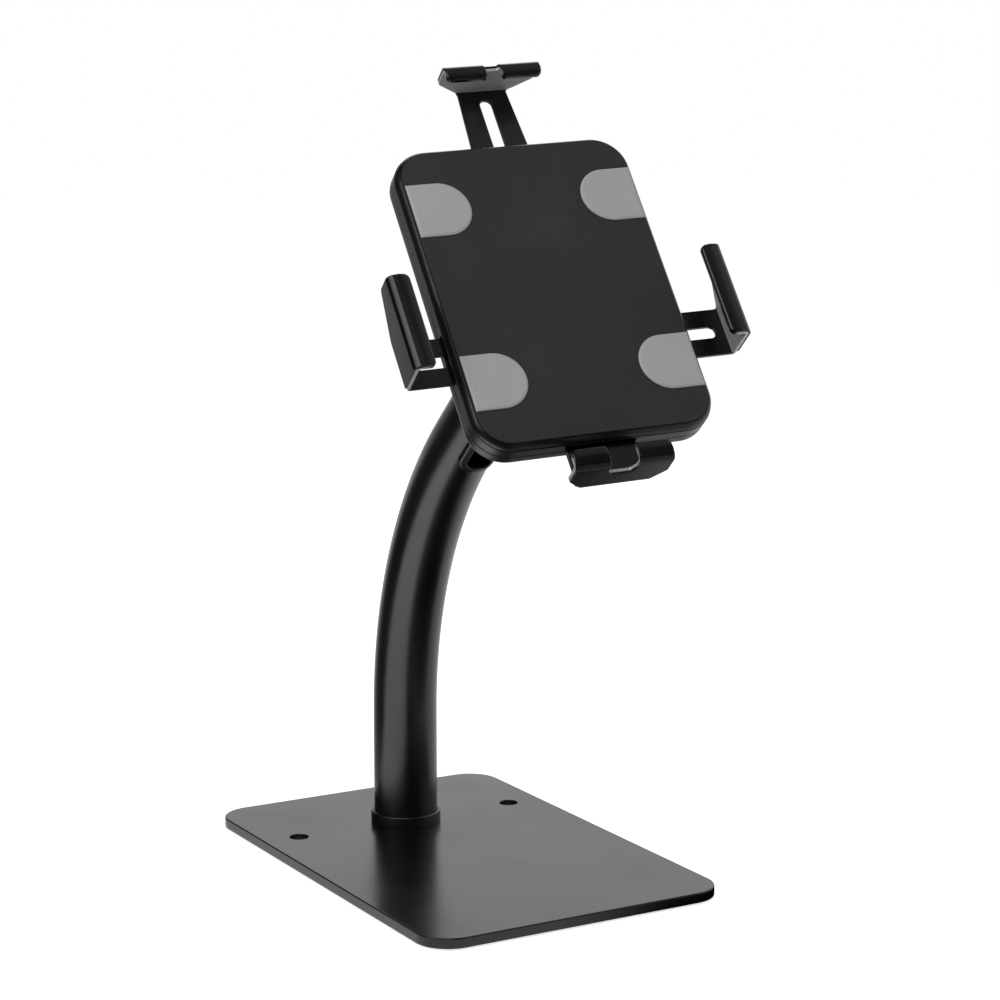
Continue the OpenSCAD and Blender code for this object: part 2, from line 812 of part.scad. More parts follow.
// What is cut off the corners of a lip that ends at x between y0 and y1
module tip_corners(x, y0, y1, r) {
    for (s = [[y1, 1], [y0, -1]]) translate([x, s[0], lip_gap - eps / 2]) scale([1, s[1], 1])
        linear_extrude(2 * steel_t + 2 * sleeve_t) difference() {
            translate([-eps, -r]) square([r + eps, r + eps]);
            translate([r, -r]) circle(r);
        }
}

module steel_corners(reach, lip, y0, y1) {
    r = lip_r - sleeve_t - sleeve_gap;
    tip_corners(reach + steel_t - lip + sleeve_t, y0, y1, r);
}

module sleeve_corners(reach, lip, y0, y1) {
    tip_corners(reach + steel_t - lip - sleeve_gap, y0, y1, lip_r);
}

// What is cut off beside the arm so that the flange widens from the bend to the lip
module flare_cut(reach, half, wide, side, level) {
    far = reach + 4 * steel_t;
    rotate([90, 0, 90]) linear_extrude(far) scale([side, 1]) polygon([
        [half, arm_z - eps], [half, arm_top_z], [wide, level],
        [wide + lip_l, level], [wide + lip_l, arm_z - eps]
    ]);
}

// The notch in the middle of a wide lip
module lip_notch(reach, low, top, bottom_z) {
    top_z = lip_gap + steel_t + 2 * sleeve_t;
    translate([reach - lip_l / 2, 0, 0]) rotate([90, 0, 90]) linear_extrude(lip_l) polygon([
        [-low, bottom_z], [low, bottom_z], [top, bottom_z + (top - low) * 1.6], [top, top_z],
        [-top, top_z], [-top, bottom_z + (top - low) * 1.6]
    ]);
}

// The top arm tapers from the case to its bend
module top_arm_cut() {
    for (s = [-1, 1]) scale([1, s, 1]) translate([0, 0, arm_z - eps]) linear_extrude(steel_t + 2 * eps)
        polygon([
            [top_arm_in - eps, top_arm_w / 2], [case_h / 2, top_arm_w / 2],
            [top_reach, top_bend_w / 2], [top_reach, lip_l], [top_arm_in - eps, lip_l]
        ]);
}

module top_flares(grow = 0) {
    for (s = [-1, 1]) flare_cut(top_reach, top_bend_w / 2 + grow, lip_l / 2, s, flare_z);
}

module top_bracket() {
    color(steel_black) in_head() rotate([0, 0, 90]) difference() {
        along_edge(lip_l) steel_section(top_arm_in, top_reach, top_lip);
        top_arm_cut();
        difference() {
            top_flares();
            cube([2 * top_reach - 6, 2 * lip_l, 4 * case_t], center = true);
        }
        steel_corners(top_reach, top_lip, -lip_l / 2, lip_l / 2);
        lip_notch(top_reach, top_notch, top_notch, lip_gap - 1.5);
        translate([0, 0, arm_z - eps]) linear_extrude(steel_t + 2 * eps)
            slot_2d(top_slot_in, top_slot_out - slot_w / 2, slot_w);
    }
}

module top_sleeve() {
    color(sleeve_black) in_head() rotate([0, 0, 90]) difference() {
        along_edge(lip_l) sleeve_section(top_reach, top_lip);
        top_flares(0.4);
        sleeve_corners(top_reach, top_lip, -lip_l / 2, lip_l / 2);
        lip_notch(top_reach, top_notch + 0.4, top_notch + 0.4, lip_gap - 1);
    }
}

module bottom_flares(grow = 0) {
    for (s = [-1, 1]) flare_cut(bottom_reach, bottom_arm_w / 2 + grow, lip_l / 2, s, flare_z);
}

module bottom_bracket() {
    color(steel_black) in_head() rotate([0, 0, -90]) difference() {
        along_edge(lip_l) steel_section(bottom_arm_in, bottom_reach, bottom_lip);
        bottom_flares();
        steel_corners(bottom_reach, bottom_lip, -lip_l / 2, lip_l / 2);
        lip_notch(bottom_reach, bottom_notch, bottom_notch_top, bottom_notch_z);
        for (y = [-1, 1]) translate([-bottom_screw_y, y * bottom_screw_x, 0])
            disc(bottom_screw_d + 2 * fit, arm_z - eps, arm_top_z + eps);
    }
}

module bottom_sleeve() {
    color(sleeve_black) in_head() rotate([0, 0, -90]) difference() {
        along_edge(lip_l) sleeve_section(bottom_reach, bottom_lip);
        bottom_flares(0.4);
        sleeve_corners(bottom_reach, bottom_lip, -lip_l / 2, lip_l / 2);
        lip_notch(bottom_reach, bottom_notch + 0.6, bottom_notch_top + 0.6, bottom_notch_z - 0.6);
    }
}

module bottom_screws() {
    color(bare_steel) in_head() at_bottom_screws() {
        disc(bottom_screw_d, carrier_back_z - 0.4, arm_top_z + eps);
        disc(2 * bottom_screw_d, arm_top_z, arm_top_z + 2);
    }
}

// A side bracket's lip ends flush with the lower edge of its arm and runs on above it
module side_flare(grow = 0) {
    flare_cut(side_reach, side_arm_w / 2 + grow, lip_l - side_arm_w / 2, 1, flare_z);
}

module side_bracket() {
    shift = (lip_l - side_arm_w) / 2;
    difference() {
        translate([0, shift, 0]) along_edge(lip_l) steel_section(side_arm_in, side_reach, side_lip);
        side_flare();
        steel_corners(side_reach, side_lip, -side_arm_w / 2, lip_l - side_arm_w / 2);
        translate([0, 0, arm_z - eps]) linear_extrude(steel_t + 2 * eps)
            slot_2d(side_slot_in, side_slot_out - slot_w / 2, slot_w);
    }
}

module side_sleeve() {
    shift = (lip_l - side_arm_w) / 2;
    difference() {
        translate([0, shift, 0]) along_edge(lip_l) sleeve_section(side_reach, side_lip);
        side_flare(0.4);
        sleeve_corners(side_reach, side_lip, -side_arm_w / 2, lip_l - side_arm_w / 2);
    }
}

module on_right() {
    in_head() translate([0, -side_arm_drop, 0]) children();
}

module on_left() {
    in_head() mirror([1, 0, 0]) translate([0, -side_arm_drop, 0]) children();
}

module right_bracket() {
    color(steel_black) on_right() side_bracket();
}

module right_sleeve() {
    color(sleeve_black) on_right() side_sleeve();
}

module left_bracket() {
    color(steel_black) on_left() side_bracket();
}

module left_sleeve() {
    color(sleeve_black) on_left() side_sleeve();
}

// Key lock: its eccentric cam closes on the edge of the top arm
module at_lock() {
    in_head() translate([lock_x, lock_y, 0]) children();
}

module lock_barrel() {
    color(bare_steel) at_lock() difference() {
        union() {
            disc(lock_d, back_z - fit, carrier_z - fit);
            disc(lock_d + 2 * lock_rim, back_z - 1.6, back_z - fit);
        }
        disc(plug_d + 2 * run, back_z - 2 * eps, carrier_z + eps);
    }
}

module lock_plug() {
    color(bare_steel) at_lock() difference() {
        union() {
            disc(plug_d, back_z - 1.4, carrier_z);
            disc(plug_shaft_d, carrier_z - eps, arm_top_z - fit);
        }
        translate([-keyway_w / 2, -keyway_l / 2, back_z - 2 * eps]) cube([keyway_w, keyway_l, keyway_h]);
    }
}

module lock_cam() {
    color(bare_steel) at_lock() difference() {
        translate([0, lock_throw, 0]) disc(2 * lock_cam_r, arm_z + fit, arm_top_z);
        disc(plug_shaft_d + 2 * fit, arm_z - eps, arm_top_z + eps);
    }
}

base_plate();
base_sheet();
pole();
pole_collar();
pole_foot();
foot_screws();
upper_grommet();
lower_grommet();
end_fitting();
fitting_screws();
ball_stud();
ball_liner();
socket_housing();
clamp_ring();
ring_screw();
turn_washer();
turn_retainer();
retainer_screws();
carrier_plate();
guide_pins();
top_guide_stud();
clamp_screws();
clamp_nuts();
front_cover();
back_cover();
front_panel();
top_left_pad();
top_right_pad();
bottom_left_pad();
bottom_right_pad();
bottom_bracket();
bottom_sleeve();
bottom_screws();
case_screws();
lock_barrel();
lock_plug();
lock_cam();
top_bracket();
top_sleeve();
left_bracket();
left_sleeve();
right_bracket();
right_sleeve();
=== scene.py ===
"""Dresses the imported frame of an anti-theft tablet desk stand and lights it for a studio picture."""
import json
import logging
import math
from collections.abc import Iterable, Sequence
from dataclasses import dataclass, field
from enum import Enum

import bmesh
import bpy
from mathutils import Matrix, Vector


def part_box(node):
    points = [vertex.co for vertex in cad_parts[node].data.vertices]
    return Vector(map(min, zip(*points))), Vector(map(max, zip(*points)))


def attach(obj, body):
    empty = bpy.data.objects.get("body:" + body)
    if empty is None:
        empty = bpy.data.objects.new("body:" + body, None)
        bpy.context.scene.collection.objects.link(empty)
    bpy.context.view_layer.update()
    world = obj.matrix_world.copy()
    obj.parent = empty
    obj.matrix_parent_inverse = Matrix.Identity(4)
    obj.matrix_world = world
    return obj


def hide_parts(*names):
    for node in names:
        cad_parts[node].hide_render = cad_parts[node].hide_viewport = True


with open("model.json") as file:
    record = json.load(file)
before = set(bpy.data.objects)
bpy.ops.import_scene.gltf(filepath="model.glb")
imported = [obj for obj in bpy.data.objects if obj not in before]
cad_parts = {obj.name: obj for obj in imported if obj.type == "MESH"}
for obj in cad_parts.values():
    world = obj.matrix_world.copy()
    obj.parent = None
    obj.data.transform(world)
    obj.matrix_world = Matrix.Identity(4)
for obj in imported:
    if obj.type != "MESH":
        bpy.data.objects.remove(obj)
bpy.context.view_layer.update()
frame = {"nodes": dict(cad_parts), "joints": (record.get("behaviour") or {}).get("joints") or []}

MM = 0.001
TAU = 2 * math.pi
LOG = logging.getLogger("stand")
WHITE = (1.0, 1.0, 1.0, 1.0)
# Sizes of the work itself, in millimetres
LEAST_RADIUS = 0.01  # a sharp corner that still keeps its count of points
OVERSHOOT = 2.0  # how far a cutter stands out of what it cuts
WELD = 1e-4  # points closer than this are one
# The stretch that nearly all values of a noise lie in, and that of a noise with its fine relief added
NOISE_RANGE = (0.3, 0.7)
SPECK_RANGE = (0.7, 1.3)
Flat = tuple[float, float]
# A corner: its place on the two axes and the radius of its rounding
Corner = tuple[float, float, float]


class Body(Enum):
    """The rigid bodies of the frame that finished pieces ride on."""

    STAND = "stand"
    SOCKET = "socket"
    HEAD = "head"
    LOCK = "lock"
    TOP_ARM = "top_arm"
    LEFT_ARM = "left_arm"
    RIGHT_ARM = "right_arm"


class Grain(Enum):
    """How the fine relief of a surface runs."""

    ORANGE_PEEL = "orange peel"
    SPARK = "spark eroded"
    BRUSHED = "brushed"
    SOFT = "soft"


# Outlines, in millimetres
def quarter(steps: int) -> list[float]:
    """The angles of a quarter turn in even steps, both ends included."""
    return [math.pi / 2 * i / steps for i in range(steps + 1)]


def arc(centre: Flat, radius: float, start: float, sweep: float, steps: int) -> list[Flat]:
    """Points along an arc, both ends included.

    Args:
        centre: The arc's centre.
        radius: Its radius.
        start: The first angle, in radians.
        sweep: How far it turns, in radians.
        steps: The number of chords.

    Returns:
        The points, from start to start + sweep.
    """
    angles = [start + sweep * i / steps for i in range(steps + 1)]
    return [(centre[0] + radius * math.cos(a), centre[1] + radius * math.sin(a)) for a in angles]


def rounded_rect(width: float, height: float, radius: float, corner: int = 16, side: int = 14) -> list[Flat]:
    """A rounded rectangle about the middle, with the same count of points for any size.

    Args:
        width: Its full width.
        height: Its full height.
        radius: Its corner radius.
        corner: The number of chords in each corner.
        side: The number of chords along each straight side.

    Returns:
        The points, anticlockwise.
    """
    radius = max(radius, LEAST_RADIUS)
    points: list[Flat] = []
    centres = [(1, 1), (-1, 1), (-1, -1), (1, -1)]
    for index, (sx, sy) in enumerate(centres):
        centre = (sx * (width / 2 - radius), sy * (height / 2 - radius))
        points += arc(centre, radius, index * math.pi / 2, math.pi / 2, corner)
        nx, ny = centres[(index + 1) % 4]
        last = points[-1]
        turn = (index + 1) * math.pi / 2
        first = (
            nx * (width / 2 - radius) + radius * math.cos(turn),
            ny * (height / 2 - radius) + radius * math.sin(turn),
        )
        points += [
            (last[0] + (first[0] - last[0]) * i / side, last[1] + (first[1] - last[1]) * i / side)
            for i in range(1, side)
        ]
    return points


def filleted(corners: Sequence[Corner], steps: int = 6) -> list[Flat]:
    """A polygon whose corners are rounded.

    Args:
        corners: Each corner as x, y and the radius of its rounding.
        steps: The number of chords in each rounding.

    Returns:
        The points of the rounded outline.
    """
    straight = 0.01  # radians that a corner may turn by and still be left as it is
    points: list[Flat] = []
    for index, (x, y, radius) in enumerate(corners):
        here = Vector((x, y))
        before = (Vector(corners[index - 1][:2]) - here).normalized()
        after = (Vector(corners[(index + 1) % len(corners)][:2]) - here).normalized()
        half = before.angle(after) / 2
        if radius <= 0 or half > math.pi / 2 - straight:
            points.append((x, y))
            continue
        centre = here + (before + after).normalized() * (radius / math.sin(half))
        start = here + before * (radius / math.tan(half)) - centre
        end = here + after * (radius / math.tan(half)) - centre
        sweep = -start.angle_signed(end)
        points += arc(tuple(centre), radius, math.atan2(start.y, start.x), sweep, steps)
    return points


def both_halves(half: list[Corner]) -> list[Corner]:
    """A row of corners, then their mirror images across the first axis in the reverse order."""
    return half + [(x, -y, radius) for x, y, radius in reversed(half)]


def slot_outline(start: float, end: float, width: float, steps: int = 16) -> list[Flat]:
    """A slot with round ends whose centres lie at start and end on the first axis."""
    last = arc((end, 0), width / 2, -math.pi / 2, math.pi, steps)
    return last + arc((start, 0), width / 2, math.pi / 2, math.pi, steps)


# Meshes
def linked(name: str, data: bpy.types.ID) -> bpy.types.Object:
    """Link a new object to the scene, at the origin.

    Args:
        name: Its name.
        data: Its mesh, curve, lamp or camera.

    Returns:
        The new object.
    """
    made = bpy.data.objects.new(name, data)
    bpy.context.scene.collection.objects.link(made)
    return made


def new_object(name: str, mesh: bmesh.types.BMesh) -> bpy.types.Object:
    """Turn a bmesh into an object at the origin and link it to the scene.

    Args:
        name: The piece's name.
        mesh: The mesh, in metres and in place; it is freed.

    Returns:
        The new object.
    """
    data = bpy.data.meshes.new(name)
    mesh.to_mesh(data)
    mesh.free()
    return linked(name, data)


def opened(mesh: bpy.types.Mesh) -> bmesh.types.BMesh:
    """Turn a plain mesh into a bmesh.

    Args:
        mesh: The mesh; it is removed.

    Returns:
        The bmesh.
    """
    made = bmesh.new()
    made.from_mesh(mesh)
    bpy.data.meshes.remove(mesh)
    return made


def evaluated(made: bpy.types.Object) -> bpy.types.Mesh:
    """What a piece looks like with its modifiers, or with its curve's thickness, as a plain mesh."""
    bpy.context.view_layer.update()
    return bpy.data.meshes.new_from_object(made.evaluated_get(bpy.context.evaluated_depsgraph_get()))


def skin(mesh: bmesh.types.BMesh, rows: Sequence[Sequence[bmesh.types.BMVert]], closed: bool) -> None:
    """Lay faces between rows of points.

    Args:
        mesh: The mesh that holds the points.
        rows: The rows, in order. All have the same count, or one point where they close an end.
        closed: Whether the last row joins the first.
    """
    count = max(len(row) for row in rows)
    for low, high in zip(rows, [*rows[1:], rows[0]] if closed else rows[1:]):
        for i in range(count):
            j = (i + 1) % count
            corners = (low[i % len(low)], low[j % len(low)], high[j % len(high)], high[i % len(high)])
            unique = list(dict.fromkeys(corners))
            if len(unique) > 2:
                mesh.faces.new(unique)


def loft(rings: Sequence[Sequence[Vector]], closed: bool = False) -> bmesh.types.BMesh:
    """Skin a row of rings that all have the same count of points.

    Args:
        rings: The rings, in order.
        closed: Whether the last ring joins the first. Otherwise both are filled.

    Returns:
        A closed mesh whose faces point outwards.
    """
    mesh = bmesh.new()
    rows = [[mesh.verts.new(point) for point in ring] for ring in rings]
    skin(mesh, rows, closed)
    if not closed:
        mesh.faces.new(rows[0][::-1])
        mesh.faces.new(rows[-1])
    bmesh.ops.recalc_face_normals(mesh, faces=mesh.faces)
    return mesh


def lathe(profile: Sequence[Flat], place: Matrix, count: int = 96, closed: bool = False) -> bmesh.types.BMesh:
    """Turn a profile round the Z axis of a frame.

    Args:
        profile: Radius and height of each point, in millimetres. A radius of 0 closes the end.
        place: The frame that the turned piece stands in.
        count: The number of sides.
        closed: Whether the profile is a closed loop, as on a ring.

    Returns:
        A closed mesh whose faces point outwards.
    """
    mesh = bmesh.new()
    turns = [TAU * i / count for i in range(count)]
    rows: list[list[bmesh.types.BMVert]] = []
    for radius, height in profile:
        ring = [(radius * math.cos(a), radius * math.sin(a)) for a in turns] if radius > 0 else [(0.0, 0.0)]
        rows.append([mesh.verts.new(place @ Vector((x, y, height))) for x, y in ring])
    skin(mesh, rows, closed)
    bmesh.ops.recalc_face_normals(mesh, faces=mesh.faces)
    return mesh


def shade(made: bpy.types.Object, angle: float) -> None:
    """Shade a piece smooth but keep its crisp edges, and let the big faces set the normals.

    Args:
        made: The piece.
        angle: Edges sharper than this many degrees stay crisp.
    """
    for polygon in made.data.polygons:
        polygon.use_smooth = True
    made.data.set_sharp_from_angle(angle=math.radians(angle))
    normals = made.modifiers.new("face normals", "WEIGHTED_NORMAL")
    normals.keep_sharp = True


def cut(made: bpy.types.Object, cutters: Iterable[bpy.types.Object]) -> None:
    """Cut pieces out of another, leave a plain mesh and throw the cutters away.

    Args:
        made: The piece that is cut.
        cutters: Closed meshes.
    """
    cutters = list(cutters)
    for cutter in cutters:
        knife = made.modifiers.new("cut", "BOOLEAN")
        knife.object = cutter
        knife.operation = "DIFFERENCE"
        knife.solver = "EXACT"
    mesh, whole = evaluated(made), made.data
    made.modifiers.clear()
    made.data = mesh
    mesh.name = made.name
    bpy.data.meshes.remove(whole)
    for cutter in cutters:
        bpy.data.objects.remove(cutter)


def prism(outline: Sequence[Flat], low: float, high: float, place: Matrix) -> bpy.types.Object:
    """A straight prism over an outline, in a frame, used to cut."""
    rings = [[place @ Vector((x, y, z)) for x, y in outline] for z in (low, high)]
    return new_object("cutter", loft(rings))


# Finishes
def emptied_tree(owner: bpy.types.Material | bpy.types.World) -> bpy.types.NodeTree:
    """Get the node tree of a material or a world ready for its own nodes.

    Args:
        owner: The material or the world.

    Returns:
        Its tree, without the nodes that it starts with.
    """
    owner.use_nodes = True
    owner.node_tree.nodes.clear()
    return owner.node_tree


def linear(code: str) -> tuple[float, float, float, float]:
    """Turn an sRGB hex colour into the linear values that a shader takes.

    Args:
        code: The colour as # and six hex digits.

    Returns:
        Red, green, blue and an alpha of 1.
    """
    parts = [int(code[i : i + 2], 16) / 255 for i in (1, 3, 5)]
    values = [p / 12.92 if p <= 0.04045 else ((p + 0.055) / 1.055) ** 2.4 for p in parts]
    return (*values, 1.0)


def add_node(
    tree: bpy.types.NodeTree, kind: str, feeds: dict | None = None, **settings: object
) -> bpy.types.Node:
    """Add one node with its settings and its inputs.

    Args:
        tree: The tree that gets the node.
        kind: The node's type.
        feeds: What goes into its inputs: a socket is linked, any other value is set.
        **settings: Properties of the node itself.

    Returns:
        The new node.
    """
    node = tree.nodes.new(kind)
    for key, value in settings.items():
        setattr(node, key, value)
    for key, value in (feeds or {}).items():
        if isinstance(value, bpy.types.NodeSocket):
            tree.links.new(value, node.inputs[key])
        else:
            node.inputs[key].default_value = value
    return node


@dataclass(frozen=True)
class Finish:
    """A surface: what it is made of and how it was made.

    Attributes:
        name: The material's name.
        colour: Its sRGB colour.
        roughness: Its mean roughness.
        metallic: 1 for bare metal.
        ior: Index of refraction of a coat, plastic or rubber.
        grain: How its fine relief runs.
        grain_mm: Size of the relief's cells.
        relief_mm: Depth of the relief.
        cloud_mm: Size of the slow change of gloss and colour across the surface.
        cloud: How far the roughness changes with it.
        tint: How far the colour changes with it.
    """

    name: str
    colour: str
    roughness: float
    metallic: float = 0.0
    ior: float = 1.5
    grain: Grain = Grain.SOFT
    grain_mm: float = 0.6
    relief_mm: float = 0.01
    cloud_mm: float = 30.0
    cloud: float = 0.04
    tint: float = 0.06

    def build(self) -> bpy.types.Material:
        """Make the material's nodes.

        Returns:
            The finished material.
        """
        material = bpy.data.materials.new(self.name)
        tree = emptied_tree(material)
        output = add_node(tree, "ShaderNodeOutputMaterial")
        place = add_node(tree, "ShaderNodeTexCoord").outputs["Object"]
        relief = self.relief(tree, place)
        cloud = add_node(
            tree, "ShaderNodeTexNoise", {"Vector": place, "Scale": 1 / (self.cloud_mm * MM), "Detail": 3.0}
        ).outputs["Fac"]
        rough = add_node(
            tree, "ShaderNodeMapRange",
            {"Value": cloud, "From Min": NOISE_RANGE[0], "From Max": NOISE_RANGE[1],
             "To Min": self.roughness - self.cloud, "To Max": self.roughness + self.cloud},
        ).outputs["Result"]
        dark, light = (self.shaded(share) for share in (1 - self.tint, 1 + self.tint))
        speck = add_node(tree, "ShaderNodeMath", {0: cloud, 1: relief}, operation="ADD").outputs[0]
        share = add_node(
            tree, "ShaderNodeMapRange",
            {"Value": speck, "From Min": SPECK_RANGE[0], "From Max": SPECK_RANGE[1]},
        ).outputs["Result"]
        # The Mix node goes by numbers, because its sockets for values, vectors and colours share their names
        colour = add_node(
            tree, "ShaderNodeMix", {0: share, 6: dark, 7: light}, data_type="RGBA"
        ).outputs[2]
        bump = add_node(
            tree, "ShaderNodeBump", {"Height": relief, "Distance": self.relief_mm * MM, "Strength": 1.0}
        ).outputs["Normal"]
        shader = add_node(
            tree, "ShaderNodeBsdfPrincipled",
            {"Base Color": colour, "Roughness": rough, "Normal": bump,
             "Metallic": self.metallic, "IOR": self.ior},
        )
        tree.links.new(shader.outputs["BSDF"], output.inputs["Surface"])
        return material

    def shaded(self, share: float) -> tuple[float, float, float, float]:
        """The finish's colour, made darker or lighter by a factor."""
        red, green, blue = (min(1.0, value * share) for value in linear(self.colour)[:3])
        return red, green, blue, 1.0

    def relief(self, tree: bpy.types.NodeTree, place: bpy.types.NodeSocket) -> bpy.types.NodeSocket:
        """The height of the fine relief, from 0 to 1.

        Args:
            tree: The material's tree.
            place: Object coordinates.

        Returns:
            A value socket.
        """
        scale = 1 / (self.grain_mm * MM)
        stretch = 0.06  # how much coarser brush marks are along the brush
        coarser = 0.6  # the scale of the uneven ground under the sparks' craters
        if self.grain is Grain.SPARK:
            cells = add_node(
                tree, "ShaderNodeTexVoronoi", {"Vector": place, "Scale": scale, "Randomness": 1.0},
                feature="SMOOTH_F1",
            ).outputs["Distance"]
            noise = add_node(
                tree, "ShaderNodeTexNoise", {"Vector": place, "Scale": scale * coarser, "Detail": 4.0}
            ).outputs["Fac"]
            return add_node(tree, "ShaderNodeMath", {0: cells, 1: noise}, operation="MULTIPLY").outputs[0]
        if self.grain is Grain.BRUSHED:
            turned = add_node(
                tree, "ShaderNodeMapping", {"Vector": place, "Scale": (1.0, 1.0, stretch)}
            ).outputs["Vector"]
            return add_node(
                tree, "ShaderNodeTexNoise",
                {"Vector": turned, "Scale": scale, "Detail": 6.0, "Roughness": 0.7},
            ).outputs["Fac"]
        detail = 2.0 if self.grain is Grain.ORANGE_PEEL else 5.0
        return add_node(
            tree, "ShaderNodeTexNoise", {"Vector": place, "Scale": scale, "Detail": detail, "Roughness": 0.5}
        ).outputs["Fac"]


# Polyester powder coat: black, satin, with the faint orange peel that the melt leaves
POWDER_COAT = Finish("satin_powder_coat", "#080909", 0.28, grain=Grain.ORANGE_PEEL, grain_mm=1.3,
                     relief_mm=0.012, cloud_mm=60)
# The same coat on the flat plate, where it levels out smoother before it sets
PLATE_COAT = Finish("plate_powder_coat", "#0a0b0b", 0.24, grain=Grain.ORANGE_PEEL, grain_mm=1.3,
                    relief_mm=0.010, cloud_mm=60)
# The same coat on the thin bent brackets, a little glossier
BRACKET_COAT = Finish("bracket_powder_coat", "#080909", 0.24, ior=1.55, grain=Grain.ORANGE_PEEL, grain_mm=0.9,
                      relief_mm=0.010)
# Sheared edges of the flange and the lip, in a pale half-metallic finish
CUT_EDGE = Finish("sheared_steel_edge", "#b4b5b6", 0.45, metallic=0.5, grain=Grain.BRUSHED, grain_mm=0.15,
                  relief_mm=0.01)
# Moulded ABS of the covers, satin from a lightly spark-eroded mould
CASE_PLASTIC = Finish("satin_abs", "#0d0e0e", 0.34, ior=1.45, grain=Grain.SPARK, grain_mm=0.35,
                      relief_mm=0.006)
# Moulded ABS of the front panel with a coarser grain that takes the gloss off
PANEL_PLASTIC = Finish("grained_abs", "#2e312f", 0.70, ior=1.4, grain=Grain.SPARK, grain_mm=0.7,
                       relief_mm=0.05, tint=0.30, cloud_mm=45)
# Silicone rubber of the grip pads, even and soft
PAD_RUBBER = Finish("silicone_rubber", "#a2a2a2", 0.62, ior=1.42, grain_mm=0.4, relief_mm=0.006, tint=0.03)
# Dipped soft PVC of the sleeves, black with a soft sheen
SLEEVE_PVC = Finish("dipped_pvc", "#070808", 0.25, ior=1.45, grain_mm=1.5, relief_mm=0.02)
# The rim of the sleeves: the same black PVC painted paler, a painted highlight along their rounded edges
SLEEVE_RIM_HIGHLIGHT = Finish("trimmed_pvc_rim", "#3a3b3b", 0.25, ior=1.55, grain_mm=0.8, relief_mm=0.01)
# The inner faces of the hooks, where the tablet's edge rests, in a grey finish of their own
HOOK_INNER_GREY = Finish("grey_damping_lacquer", "#909191", 0.55, grain_mm=0.5, relief_mm=0.01, tint=0.05)
# Injection-moulded polyamide of the cable outlets and the collar
OUTLET_PLASTIC = Finish("black_polyamide", "#0c0d0d", 0.36, grain=Grain.SPARK, grain_mm=0.3, relief_mm=0.005)
# Die-cast aluminium of the ball socket under a fine black coat
CAST_ALUMINIUM = Finish("coated_die_casting", "#18191a", 0.45, grain=Grain.SPARK, grain_mm=0.5,
                        relief_mm=0.02)
# Zinc-plated steel of screws and plates
ZINC_STEEL = Finish("zinc_plated_steel", "#b4b6b8", 0.32, metallic=1.0, grain=Grain.BRUSHED, grain_mm=0.2,
                    relief_mm=0.008)
# Ground and polished steel of the ball
POLISHED_STEEL = Finish("polished_steel", "#c9cacc", 0.16, metallic=1.0, grain=Grain.BRUSHED, grain_mm=0.12,
                        relief_mm=0.002)
# Nickel plate of the lock's face
NICKEL_PLATE = Finish("nickel_plate", "#c4c1b8", 0.22, metallic=1.0, grain=Grain.BRUSHED, grain_mm=0.2,
                      relief_mm=0.004)
# Turned acetal of the liner, washer and guide pins
ACETAL = Finish("natural_acetal", "#d9d6cc", 0.45, grain_mm=0.4, relief_mm=0.004, tint=0.02)
# Ribbed rubber sheet under the base
BASE_RUBBER = Finish("anti_slip_rubber", "#101010", 0.75, ior=1.5, grain_mm=1.2, relief_mm=0.05)
# Black oxide on the security screws
BLACK_OXIDE = Finish("black_oxide_steel", "#2a2b2c", 0.38, metallic=0.6, grain=Grain.BRUSHED, grain_mm=0.2,
                     relief_mm=0.006)

FINISHES = (POWDER_COAT, PLATE_COAT, BRACKET_COAT, CUT_EDGE, CASE_PLASTIC, PANEL_PLASTIC, PAD_RUBBER,
            SLEEVE_PVC, SLEEVE_RIM_HIGHLIGHT, HOOK_INNER_GREY, OUTLET_PLASTIC, CAST_ALUMINIUM, ZINC_STEEL, POLISHED_STEEL,
            NICKEL_PLATE, ACETAL, BASE_RUBBER, BLACK_OXIDE)


class Workshop:
    """Holds the built materials and hands finished pieces over to the frame."""

    def __init__(self) -> None:
        """Build every finish once."""
        self.materials = {finish.name: finish.build() for finish in FINISHES}

    def coat(self, made: bpy.types.Object, *finishes: Finish) -> None:
        """Give a piece its finishes.

        Args:
            made: The piece.
            *finishes: One finish for each material slot.
        """
        if made.data.materials:  # clearing an empty list would still put every face in the first slot
            made.data.materials.clear()
        for finish in finishes:
            made.data.materials.append(self.materials[finish.name])

    def hand_over(
        self, made: bpy.types.Object, body: Body, replaces: Sequence[str], slot: str, *finishes: Finish,
        crisp: float = 32,
    ) -> None:
        """Shade and coat a finished piece, and let it ride on its body in place of its solids.

        Args:
            made: The piece.
            body: The body that it moves with.
            replaces: The nodes that it stands for.
            slot: The record's material slot; not used.
            *finishes: Its finishes, one for each material slot.
            crisp: Edges sharper than this many degrees stay crisp.
        """
        shade(made, crisp)
        self.coat(made, *finishes)
        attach(made, body.value)
        if replaces:
            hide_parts(*replaces)
        LOG.info("%s rides on %s", made.name, body.value)

    def dress_node(self, node: str, finish: Finish) -> None:
        """Give a solid that stays in view its finish."""
        self.coat(frame["nodes"][node], finish)
        LOG.info("%s keeps its solid in %s", node, finish.name)


